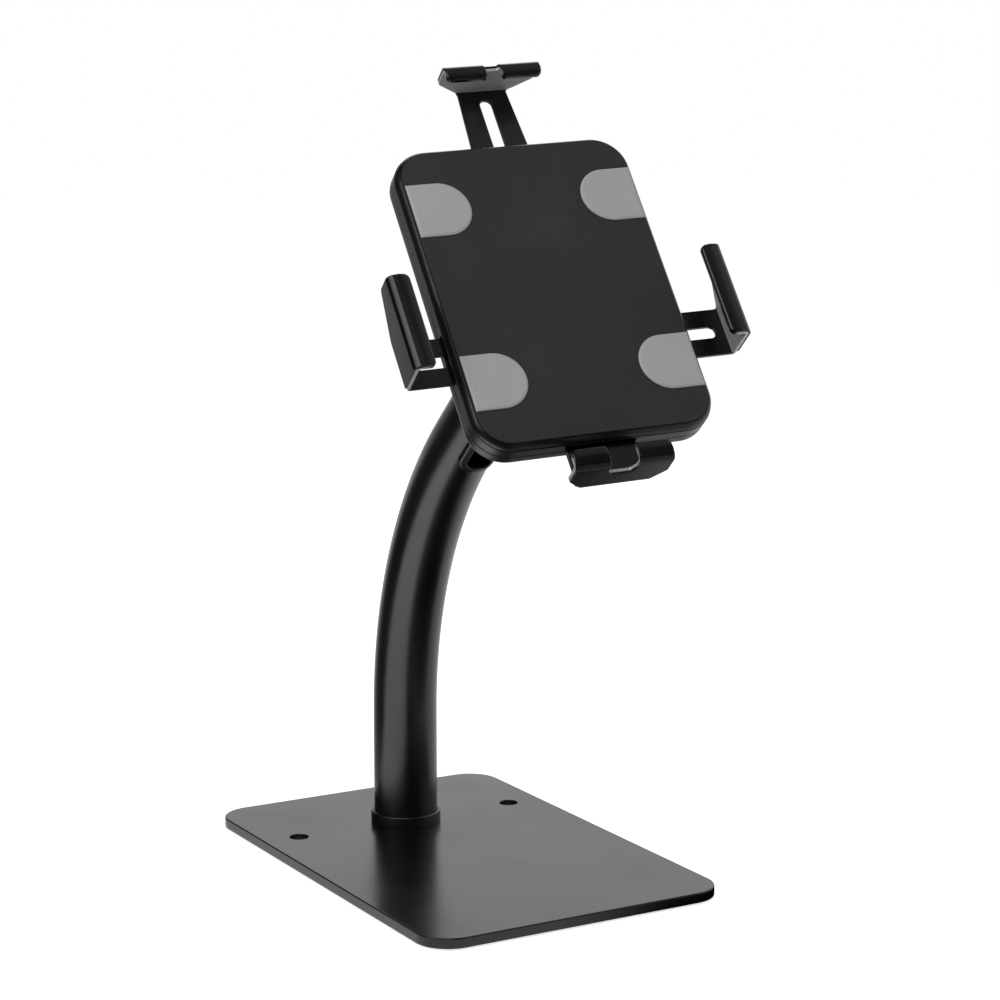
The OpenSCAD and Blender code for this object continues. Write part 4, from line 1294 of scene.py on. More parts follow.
# Head
@dataclass
class Case:
    """The two covers, the front panel and the grip pads.

    Attributes:
        width: Width of the case.
        height: Height of the case.
        corner: Its corner radius.
        wall: Wall of the covers.
        front: Depth of the front face below the pads.
        step: Depth of the small step round the front cover.
        step_in: Width of that step.
        part: Depth of the joint line between the covers.
        seam: Width of that joint line.
        back: Depth of the back face.
        bezel: Rounding of the front edge.
        bezel_width: Width of the smooth frame.
        back_edge: Rounding of the back edge.
        panel: Thickness of the front panel.
        gap: Width of the joint line round the panel.
        hub: Outer diameter of the hub on the back.
        hub_height: Its height.
        mouth_top: Depth of the upper edge of the mouths that the arms come out of.
        arm_half: Half widths of the top, bottom and side arms.
        side_drop: How far the side arms lie below the middle.
        screws: Place of a case screw from the middle.
        access: How far the openings over the clamp screws lie from the middle.
        pad_bevel: Width of the bevel round a grip pad.
    """

    workshop: Workshop
    place: Place
    width: float = 136.5
    height: float = 184.5
    corner: float = 20.0
    wall: float = 2.2
    front: float = -1.2
    step: float = -6.5
    step_in: float = 0.3
    part: float = -12.1
    seam: float = 0.4
    back: float = -20.7
    bezel: float = 5.0
    bezel_width: float = 2.4
    back_edge: float = 4.5
    panel: float = 1.5
    gap: float = 0.4
    hub: float = 84.0
    hub_height: float = 5.0
    mouth_top: float = -7.1
    arm_half: tuple[float, float, float] = (16.7, 19.8, 14.0)
    side_drop: float = 33.4
    screws: Flat = (54.75, 76.75)
    access: float = 56.5
    pad_bevel: float = 1.1

    def build(self) -> None:
        """Make the case."""
        self.front_cover()
        self.back_cover()
        self.front_panel()
        for name, side in (("top_left_pad", -1), ("top_right_pad", 1), ("bottom_left_pad", -1),
                           ("bottom_right_pad", 1)):
            self.grip_pad(name, side)

    def ring(self, inset: float, z: float) -> list[Vector]:
        """The case's outline, drawn in by an inset, at a depth."""
        outline = rounded_rect(self.width - 2 * inset, self.height - 2 * inset, self.corner - inset)
        return [self.place.matrix @ Vector((x, y, z)) for x, y in outline]

    def mouths(self, low: float) -> list[bpy.types.Object]:
        """What is cut out of the side walls so that the arms can slide.

        Args:
            low: The depth that the cutters reach down to.

        Returns:
            The cutters for the top, the bottom, the right and the left.
        """
        play, out, deep = 0.3, 6.0, 12.0
        top, bottom, side = (half + play for half in self.arm_half)
        x_in, x_out = self.width / 2 - deep, self.width / 2 + out
        y_in, y_out = self.height / 2 - deep, self.height / 2 + out
        side_low, side_high = -self.side_drop - side, -self.side_drop + side
        boxes = [(-top, y_in, top, y_out), (-bottom, -y_out, bottom, -y_in),
                 (x_in, side_low, x_out, side_high), (-x_out, side_low, -x_in, side_high)]
        return [prism([(x0, y0), (x1, y0), (x1, y1), (x0, y1)], low, self.mouth_top, self.place.matrix)
                for x0, y0, x1, y1 in boxes]

    def front_cover(self) -> None:
        """The front cover: a thin frame rolled over from the side, a step, and four mouths."""
        top, wall, bezel, rim = self.front, self.wall, self.bezel, self.bezel_width
        ease, small = 0.15, 0.12
        centre, under = self.step_in + bezel, top - self.panel
        reach = math.acos((centre - rim) / bezel)
        rim_z = top - bezel + bezel * math.sin(reach)
        profile = [(wall + 1.0, under - 2.0), (wall, under - 3.0), (wall, self.part + ease),
                   (wall - ease, self.part), (ease, self.part), (0.0, self.part + ease),
                   (0.0, self.step - small), (small, self.step), (self.step_in, self.step)]
        profile += [(centre - bezel * math.cos(a), top - bezel + bezel * math.sin(a))
                    for a in (reach * i / 12 for i in range(13))]
        profile += [(rim + small, rim_z - 0.08), (rim + 0.18, rim_z - 0.25), (rim + 0.18, under)]
        cover = new_object("front_cover_shell", loft([self.ring(*point) for point in profile]))
        cut(cover, self.mouths(self.part - OVERSHOOT))
        self.workshop.hand_over(cover, Body.HEAD, ["front_cover"], "case_plastic", CASE_PLASTIC, crisp=40)

    def back_cover(self) -> None:
        """The back cover with its hub, screw seats and the hole for the lock."""
        top, back, edge, wall = self.part - self.seam, self.back, self.back_edge, self.wall
        profile = [(wall + 0.8, back + 2.0), (wall, back + 2.8), (wall, top), (0.25, top), (0.0, top - 0.25)]
        profile += [(edge - edge * math.cos(a), back + edge - edge * math.sin(a)) for a in quarter(8)]
        cover = new_object("back_cover_shell", loft([self.ring(*point) for point in profile]))
        out, through, hub = back - 1, back + 4, self.hub / 2
        seat = [(0, out), (3.4, out), (3.1, back + 0.3), (3.1, back + 2.4), (1.6, back + 2.4), (1.6, through),
                (0, through)]
        clamp_hole = [(0, out), (6.4, out), (6.0, back + 0.4), (6.0, through), (0, through)]
        keyhole, opening = ([(0, out), (r, out), (r, through), (0, through)] for r in (8.6, hub - 1))
        x_screw, y_screw = self.screws
        drills = [(seat, self.place.moved(x * x_screw, y * y_screw, 0)) for x in (-1, 1) for y in (-1, 1)]
        drills += [(clamp_hole, self.place.moved(x * self.access, -self.side_drop, 0)) for x in (-1, 1)]
        drills += [(keyhole, self.place.middle_of("lock_barrel")), (opening, self.place)]
        cut(cover, [new_object("drill", lathe(shape, place.matrix, 48)) for shape, place in drills])
        self.workshop.hand_over(cover, Body.HEAD, ["back_cover"], "case_plastic", CASE_PLASTIC, crisp=40)
        low, inner, seat_z, lap = back - self.hub_height, 23.0, back + 1.9, 1.6
        profile = filleted([
            (hub + lap, back + 0.02, 0.1), (hub, back - 0.2, 1.0), (hub, low, 2.0), (inner, low, 0.5),
            (inner, low + 3, 0.2), (hub - 2, low + 3, 0.5), (hub - 2, seat_z, 0), (hub + lap, seat_z, 0)])
        ring = new_object("turntable_hub", lathe(profile, self.place.matrix, 128, closed=True))
        self.workshop.hand_over(ring, Body.HEAD, [], "case_plastic", CASE_PLASTIC, crisp=40)

    def front_panel(self) -> None:
        """The grained panel, set in the frame with an even joint line."""
        inset, ease, top = self.bezel_width + self.gap, 0.35, self.front
        profile = [(inset, top - self.panel)]
        profile += [(inset + ease - ease * math.cos(a), top - ease + ease * math.sin(a)) for a in quarter(4)]
        panel = new_object("grained_front_panel", loft([self.ring(*point) for point in profile]))
        self.workshop.hand_over(panel, Body.HEAD, ["front_panel"], "panel_plastic", PANEL_PLASTIC)

    def grip_pad(self, name: str, side: int) -> None:
        """A moulded grip pad, straight along the case's edge and round towards the middle.

        Args:
            name: The solid's name.
            side: -1 on the left, 1 on the right.
        """
        low, high = self.place.local_box(name)
        width, height = high.x - low.x, high.y - low.y
        middle = (high.y + low.y) / 2
        outer = low.x if side < 0 else high.x
        bevel, soft, foot = self.pad_bevel, 0.15, -0.62
        profile = [(0.0, self.front), (0.0, foot), (0.08, foot + 0.12), (bevel - soft, -0.04),
                   (bevel + soft, 0.0)]
        rings = []
        for inset, z in profile:
            radius = height / 2 - inset
            outline = [(inset, -radius), *arc((width - height / 2, 0), radius, -math.pi / 2, math.pi, 40)]
            outline += [(inset, radius - 2 * radius * i / 6) for i in range(6)]
            rings.append([self.place.matrix @ Vector((outer - side * x, middle + y, z)) for x, y in outline])
        pad = new_object(name + "_moulded", loft(rings))
        self.workshop.hand_over(pad, Body.HEAD, [name], "pad_rubber", PAD_RUBBER)


@dataclass(frozen=True)
class Hook:
    """The sizes of one bracket, measured from the middle of the head.

    Attributes:
        name: Its name.
        body: The body that it rides on.
        turn: The direction that it points to, in degrees from the right.
        mirrored: Whether it is the mirror image of the one on the right.
        shift: How far its middle line lies from the head's.
        reach: Distance to the inside of its flange.
        lip: How far the lip comes back.
        arm: Where the arm begins, and its half widths at the case and at the bend.
        ends: Where the lip begins and ends along the tablet's edge.
        slot: First and last centre of its slot; equal where it has none.
        notch: Half widths of the notch at its bottom and top, and the height of its bottom.
    """

    name: str
    body: Body
    turn: float
    mirrored: bool
    shift: float
    reach: float
    lip: float
    arm: tuple[float, float, float]
    ends: Flat
    slot: Flat
    notch: tuple[float, float, float] | None

    def one_sided(self) -> bool:
        """Whether the lip's first end is in line with the arm, so that it flares to one side only."""
        return abs(self.ends[0] + self.arm[2]) < 0.01


@dataclass
class Bracket:
    """A bent steel bracket with the soft sleeve on its flange and lip.

    Attributes:
        steel: Thickness of the steel.
        inner: Inner radius of its bends.
        sleeve: Thickness of the sleeve.
        film: Play between the steel and the sleeve.
        lip_gap: Height of the lip above the pads.
        arm_top: Depth of the arm's face.
        flare: Depth where the flange has its full width.
        edge: Rounding of the sheared edges.
        sleeve_edge: Rounding of the sleeve's edges.
        flare_corner: Rounding where the flange has its full width.
        case_edge: Distance to the case's edge, from where the arm tapers.
        slot_width: Width of the slot.
        corner: Rounding of the lip's outer corners.
        notch_corner: Rounding of its corners at the notch.
        notch_lean: How slowly the notch opens from its bottom to its top.
        overlap: How far the sleeve reaches over the edge of the notch.
        roll: Radius in which the sleeve's middle line rolls over the tip.
        swell: How far the sleeve's lip swells in its middle.
    """

    workshop: Workshop
    place: Place
    hook: Hook
    steel: float = 1.8
    inner: float = 1.0
    sleeve: float = 1.2
    film: float = 0.05
    lip_gap: float = 9.5
    arm_top: float = -10.1
    flare: float = -1.4
    edge: float = 0.22
    sleeve_edge: float = 0.42
    flare_corner: float = 2.5
    case_edge: float = 92.25
    slot_width: float = 7.0
    corner: float = 3.2
    notch_corner: float = 1.6
    notch_lean: float = 1.6
    overlap: float = 0.5
    roll: float = 0.75
    swell: float = 0.35

    def frame_place(self) -> Place:
        """The bracket's own frame: X outwards, Y along the tablet's edge."""
        turned = self.place.flipped() if self.hook.mirrored else self.place
        return turned.moved(0, self.hook.shift, 0).turned(self.hook.turn)

    def build(self) -> None:
        """Make the bracket and its sleeve."""
        self.bracket()
        self.soft_sleeve()

    def steel_section(self) -> Section:
        """The bracket's middle line.

        Returns:
            The section: arm, bend, flange, bend and lip.
        """
        longer = 40  # more than any lip
        bend = Fold(radius=self.inner + self.steel / 2, turn=90)
        flange = Fold(length=self.lip_gap - self.arm_top - 2 * self.inner)
        return Section((0, self.arm_top - self.steel / 2), 0,
                       (Fold(length=self.hook.reach - self.inner), bend, flange, bend, Fold(length=longer)))

    def flat_outline(self, section: Section) -> list[Flat]:
        """The bracket's outline before it is bent.

        Args:
            section: The middle line that it is bent to.

        Returns:
            Each point as its distance along the section, and its place across it.
        """
        hook, wide, tip_corner, end_corner, neck = self.hook, self.flare_corner, 0.3, 1.0, 3.0
        start, at_case, at_bend = hook.arm
        low, high = hook.ends
        bend = section.reach(1) + 0.6
        flange = section.reach(2) - (self.arm_top + self.inner)
        full = flange + self.flare
        tip = section.reach(4) + self.lip_run()
        taper = min(self.case_edge, hook.reach - 12)
        upper = [(start, at_case, end_corner), (taper, at_case, 0.0), (bend, at_bend, neck),
                 (full, high, wide), (tip, high, tip_corner)]
        if hook.one_sided():
            lower = [(tip, low, tip_corner), (start, low, end_corner)]
        else:
            lower = [(tip, low, tip_corner), (full, low, wide), (bend, -at_bend, neck),
                     (taper, -at_case, 0.0), (start, -at_case, end_corner)]
        middle: list[Corner] = []
        if hook.notch:
            foot, mouth, depth = hook.notch
            level = flange + depth
            slope = [(level + (mouth - foot) * self.notch_lean, mouth, 1.0)] if mouth > foot else []
            middle = both_halves([(tip, mouth, 0.8), *slope, (level, foot, 1.6)])
        return filleted(upper + middle + lower)

    def lip_run(self) -> float:
        """The length of the steel lip past its bend."""
        return self.hook.lip - self.steel - self.sleeve - self.inner

    def lip(self, section: Section, run: float, grow: float) -> Lip:
        """The lip's parts and the rounding of their corners.

        Args:
            section: The section that the lip belongs to.
            run: The lip's straight length.
            grow: How much wider its notch is than the bracket's on each side.

        Returns:
            The lip.
        """
        low, high = self.hook.ends
        start = section.reach(2 if grow else 4)
        if self.hook.notch is None:
            return Lip(start, run, ((low, high, self.corner, self.corner),))
        mouth = self.hook.notch[1] + grow
        return Lip(start, run, ((low, -mouth, self.corner, self.notch_corner),
                                (mouth, high, self.notch_corner, self.corner)))

    def bracket(self) -> None:
        """The bracket: sheared, pierced and bent from sheet steel."""
        hook, section = self.hook, self.steel_section()
        holes = [slot_outline(*hook.slot, self.slot_width)] if hook.slot[1] > hook.slot[0] else []
        own_finish_from = section.reach(1) + 0.6 * section.folds[1].run()
        piece = folded_sheet(
            f"{hook.name}_bent_steel", self.flat_outline(section), holes, self.steel, self.edge,
            section, self.frame_place(), own_finish_from, self.lip(section, self.lip_run(), 0.0))
        self.workshop.hand_over(piece, hook.body, [f"{hook.name}_bracket"], "black_steel",
                                BRACKET_COAT, CUT_EDGE, HOOK_INNER_GREY, crisp=38)

    def soft_sleeve(self) -> None:
        """The sleeve: it covers the flange's outside, rolls over the lip and ends below its tip."""
        hook, half, film, roll, overlap = self.hook, self.sleeve / 2, self.film, self.roll, self.overlap
        off = self.steel + film + half
        foot_z, bend_z = self.arm_top + self.inner, self.lip_gap - self.inner
        tip = hook.reach + self.steel - hook.lip + self.sleeve
        lip_run = (hook.reach - self.inner) - (tip - film - half + roll)
        section = Section(
            (hook.reach + off, foot_z), 90,
            (Fold(length=bend_z - foot_z), Fold(radius=self.inner + off, turn=90), Fold(length=lip_run),
             Fold(radius=roll, turn=90), Fold(length=self.steel)),
            swell=self.swell, swollen=2)
        low, high = hook.ends
        at_bend, wide, end_corner, foot_corner = hook.arm[2], self.flare_corner, 0.4, 0.6
        full = self.flare - foot_z
        end = section.reach(4) + self.steel + film + half - roll
        upper = [(0.0, at_bend, foot_corner), (full, high, wide), (end, high, end_corner)]
        if hook.one_sided():
            lower = [(end, low, end_corner), (0.0, low, foot_corner)]
        else:
            lower = [(end, low, end_corner), (full, low, wide), (0.0, -at_bend, foot_corner)]
        middle: list[Corner] = []
        if hook.notch:
            foot, mouth, depth = hook.notch
            level = depth - foot_z + overlap
            if depth > bend_z - 2:
                level = section.reach(1) + (depth + overlap - bend_z) * self.notch_lean
            slope = [(level + (mouth - foot) * self.notch_lean, mouth - overlap, 1.0)] if mouth > foot else []
            middle = both_halves([(end, mouth - overlap, end_corner), *slope, (level, foot - overlap, 1.1)])
        piece = folded_sheet(
            f"{hook.name}_soft_sleeve", filleted(upper + middle + lower), [], self.sleeve, self.sleeve_edge,
            section, self.frame_place(), section.reach(2), self.lip(section, lip_run, -overlap))
        # The second slot is the sleeve's rim, painted paler as a painted highlight
        self.workshop.hand_over(piece, hook.body, [f"{hook.name}_sleeve"], "sleeve_rubber",
                                SLEEVE_PVC, SLEEVE_RIM_HIGHLIGHT, SLEEVE_PVC, crisp=50)


HOOKS = (
    Hook("top", Body.TOP_ARM, 90, False, 0, 132.75, 9, (42.75, 16.7, 14.2), (-27.75, 27.75), (72.75, 122.9),
         (5.0, 5.0, 8.0)),
    Hook("bottom", Body.HEAD, -90, False, 0, 112.75, 10.5, (60, 19.8, 19.8), (-27.75, 27.75), (0, 0),
         (6.0, 8.5, 1.5)),
    Hook("right", Body.RIGHT_ARM, 0, False, -33.4, 92.75, 11, (37, 14, 14), (-14, 41.5), (53.0, 83.35), None),
    Hook("left", Body.LEFT_ARM, 0, True, -33.4, 92.75, 11, (37, 14, 14), (-14, 41.5), (53.0, 83.35), None),
)


@dataclass
class Turntable:
    """Ball socket, clamp ring, lock and fixings on the back of the head.

    Attributes:
        offset: Distance from the ball's centre to the pads.
        socket: Outer radius of the socket.
        ring: Outer radius of the clamp ring.
        ribs: Number of grip ribs on the ring.
        cavity: Radius of the round hollow for the ball's liner.
        spigot: Radius of the socket's end that the clamp ring goes over.
        back: Depth of the case's back face.
        case_screws: Distances between the case screws, across and along.
        clamps: Distance between the clamp screws.
        clamp_drop: How far the clamp screws lie below the middle.
    """

    workshop: Workshop
    place: Place
    offset: float = 51.5
    socket: float = 22.0
    ring: float = 24.0
    ribs: int = 24
    cavity: float = 17.1
    spigot: float = 19.8
    back: float = -20.7
    case_screws: Flat = (109.5, 153.5)
    clamps: float = 113.0
    clamp_drop: float = 33.4

    def build(self) -> None:
        """Make the pieces on the back of the head."""
        self.housing()
        self.clamp_ring()
        self.key_lock()
        self.screws()
        kept = {
            "ball_liner": ACETAL, "ring_screw": BLACK_OXIDE, "turn_washer": ACETAL,
            "turn_retainer": ZINC_STEEL, "retainer_screws": ZINC_STEEL, "carrier_plate": ZINC_STEEL,
            "guide_pins": ACETAL,
            "top_guide_stud": ZINC_STEEL, "clamp_nuts": ZINC_STEEL, "bottom_screws": ZINC_STEEL,
            "lock_cam": ZINC_STEEL,
        }
        for node, finish in kept.items():
            self.workshop.dress_node(node, finish)

    def at_ball(self) -> Place:
        """The frame in the ball's centre, with Z towards the user."""
        return self.place.moved(0, 0, -self.offset)

    def hollow(self, angle: float, steps: int) -> list[Flat]:
        """The profile of the hollow for the ball's liner, from its widest place on.

        Args:
            angle: How far it goes up, or down below 0, in radians.
            steps: The number of chords.

        Returns:
            Radius and height of each point.
        """
        angles = [angle * i / steps for i in range(steps + 1)]
        return [(self.cavity * math.cos(a), self.cavity * math.sin(a)) for a in angles]

    def housing(self) -> None:
        """The cast socket housing: cup, body and flange, with a turned groove behind the hub."""
        outer, spigot, front = self.socket, self.spigot, self.offset - 15.3
        mouth, stud, flange, groove = 13.0, 9.8, 28.0, 0.5
        flange_top, flange_foot = front - 1.9, front - 4.8
        profile = [
            (6.81, front), (stud, front), (stud, flange_top), (flange, flange_top), (flange, flange_foot),
            (outer, flange_foot), (outer, 10.4), (outer - groove, 9.9), (outer - groove, 9.1), (outer, 8.6),
            (outer, 6.6), (outer - 0.6, 6.0), (spigot, 6.0), (spigot, 0.3), (spigot - 0.3, 0.0),
            *self.hollow(math.asin(mouth / self.cavity), 10), (6.8, 15.7)]
        piece = new_object("ball_socket_casting", lathe(profile, self.at_ball().matrix, 96, closed=True))
        self.workshop.hand_over(
            piece, Body.SOCKET, ["socket_housing"], "black_aluminium", CAST_ALUMINIUM)

    def clamp_ring(self) -> None:
        """The clamp ring that tightens the ball, with grip ribs all round."""
        low, high, root, thread, step = -9.0, 5.5, self.ring - 0.9, self.spigot + 0.1, 0.1
        profile = [
            (thread, high), (thread, step), (self.cavity, step), *self.hollow(-math.radians(29), 8)[1:],
            (14.6, low + 0.3), (15.2, low), (root - 1.2, low), (root, low + 1.2), (root, high - 0.8),
            (root - 0.8, high)]
        piece = new_object("clamp_ring_body", lathe(profile, self.at_ball().matrix, 120, closed=True))
        self.workshop.hand_over(piece, Body.SOCKET, ["clamp_ring"], "black_aluminium", CAST_ALUMINIUM)
        self.ring_ribs(low, high, root)

    def ring_ribs(self, low: float, high: float, root: float) -> None:
        """The grip ribs of the clamp ring.

        Args:
            low: Height of the ring's lower face.
            high: Height of its upper face.
            root: Radius that the ribs stand on.
        """
        proud, inside, narrow = 0.9, -1.6, 0.86
        half = [(inside, -1.9, 0), (0.35, -1.6, 0.3), (proud, -1.1, 0.5)]
        rib_end = filleted(both_halves(half), 4)
        heights = [(narrow, low + 0.9), (1.0, low + 1.5), (1.0, high - 1.3), (narrow, high - 0.7)]
        rings = [
            [Vector((x * share if x > 0 else x, y * share, z)) for x, y in rib_end] for share, z in heights
        ]
        ribs = repeated("clamp_ring_ribs", Repeat.RING, new_object("rib", loft(rings)), self.at_ball(),
                        self.workshop.materials[CAST_ALUMINIUM.name], 2 * root, count=self.ribs,
                        turn=TAU / self.ribs)
        self.workshop.hand_over(ribs, Body.SOCKET, [], "black_aluminium", CAST_ALUMINIUM)

    def key_lock(self) -> None:
        """The round key lock: a rimmed barrel and a plug with its keyway."""
        place, back = self.place.middle_of("lock_barrel"), self.back
        inner, outer, rim, face, end = 6.3, 8.5, 10.5, 5.9, -12.2
        shell = filleted([
            (inner, end, 0), (outer, end, 0.2), (outer, back - 0.1, 0), (rim, back - 0.1, 0.2),
            (rim, back - 1.6, 0.7), (7.3, back - 1.6, 0.3), (inner, back - 1.0, 0.2)], 5)
        barrel = new_object("lock_barrel_turned", lathe(shell, place.matrix, 64, closed=True))
        self.workshop.hand_over(barrel, Body.HEAD, ["lock_barrel"], "chrome", NICKEL_PLATE)
        spindle, spindle_end, shoulder = 3, -10.2, -12.4
        turned = [(0, spindle_end), (spindle, spindle_end), (spindle, shoulder), (face, shoulder),
                  (face, back - 0.8), (face - 0.3, back - 1.1), (face - 0.9, back - 1.2), (0, back - 1.4)]
        plug = new_object("lock_plug_turned", lathe(turned, place.matrix, 64))
        slit, ward, length = 0.7, 1.1, 3.5
        keyway = filleted([
            (-slit, -length, 0.3), (slit, -length, 0.3), (slit, -0.6, 0.1), (ward, -0.2, 0.1),
            (ward, 1.2, 0.1), (slit, 1.6, 0.1), (slit, length, 0.3), (-slit, length, 0.3)], 3)
        cut(plug, [prism(keyway, back - OVERSHOOT, back + 4, place.matrix)])
        self.workshop.hand_over(plug, Body.LOCK, ["lock_plug"], "chrome", NICKEL_PLATE)

    def star_screw(self, radius: float, back: float, length: float) -> bpy.types.Object:
        """A security screw whose star recess has a pin in the middle, facing the back.

        Args:
            radius: Radius of its head.
            back: Depth of the head's face.
            length: How far its shank reaches.

        Returns:
            The screw, in millimetres.
        """
        upright, side, shank, under = Matrix.Identity(4), radius - 0.1, radius * 0.5, back + 2.0
        profile = [(0, back), (radius * 0.55, back), (radius * 0.85, back + 0.25), (side, back + 0.7),
                   (side, under), (shank, under), (shank, back + length), (0, back + length)]
        screw = new_object("screw", lathe(profile, upright, 32))
        mean, wave, points, pin = 0.42 * radius, 0.09 * radius, 6, 0.13 * radius
        arms = [(mean + wave * math.cos(points * a), a) for a in (TAU * i / 48 for i in range(48))]
        star = [(reach * math.cos(a), reach * math.sin(a)) for reach, a in arms]
        cut(screw, [prism(star, back - 1, back + 1.3, upright)])
        both = opened(screw.data.copy())
        spare = bpy.data.meshes.new("pin")
        rod = lathe([(0, back + 1.4), (pin, back + 1.4), (pin, back + 0.25), (0, back + 0.2)], upright, 16)
        rod.to_mesh(spare)
        rod.free()
        both.from_mesh(spare)
        both.to_mesh(screw.data)
        both.free()
        bpy.data.meshes.remove(spare)
        return screw

    def screws(self) -> None:
        """Four case screws and the two clamp screws of the side arms."""
        oxide = self.workshop.materials[BLACK_OXIDE.name]
        four = repeated("case_screws_star", Repeat.CORNERS, self.star_screw(3.0, -20.3, 14.5), self.place,
                        oxide, *self.case_screws)
        self.workshop.hand_over(four, Body.HEAD, ["case_screws"], "bare_steel", BLACK_OXIDE)
        two = repeated("clamp_screws_star", Repeat.ROW, self.star_screw(5.2, -17.4, 11.0),
                       self.place.moved(0, -self.clamp_drop, 0), oxide, self.clamps, count=2, turn=2.1)
        self.workshop.hand_over(two, Body.HEAD, ["clamp_screws"], "bare_steel", BLACK_OXIDE)


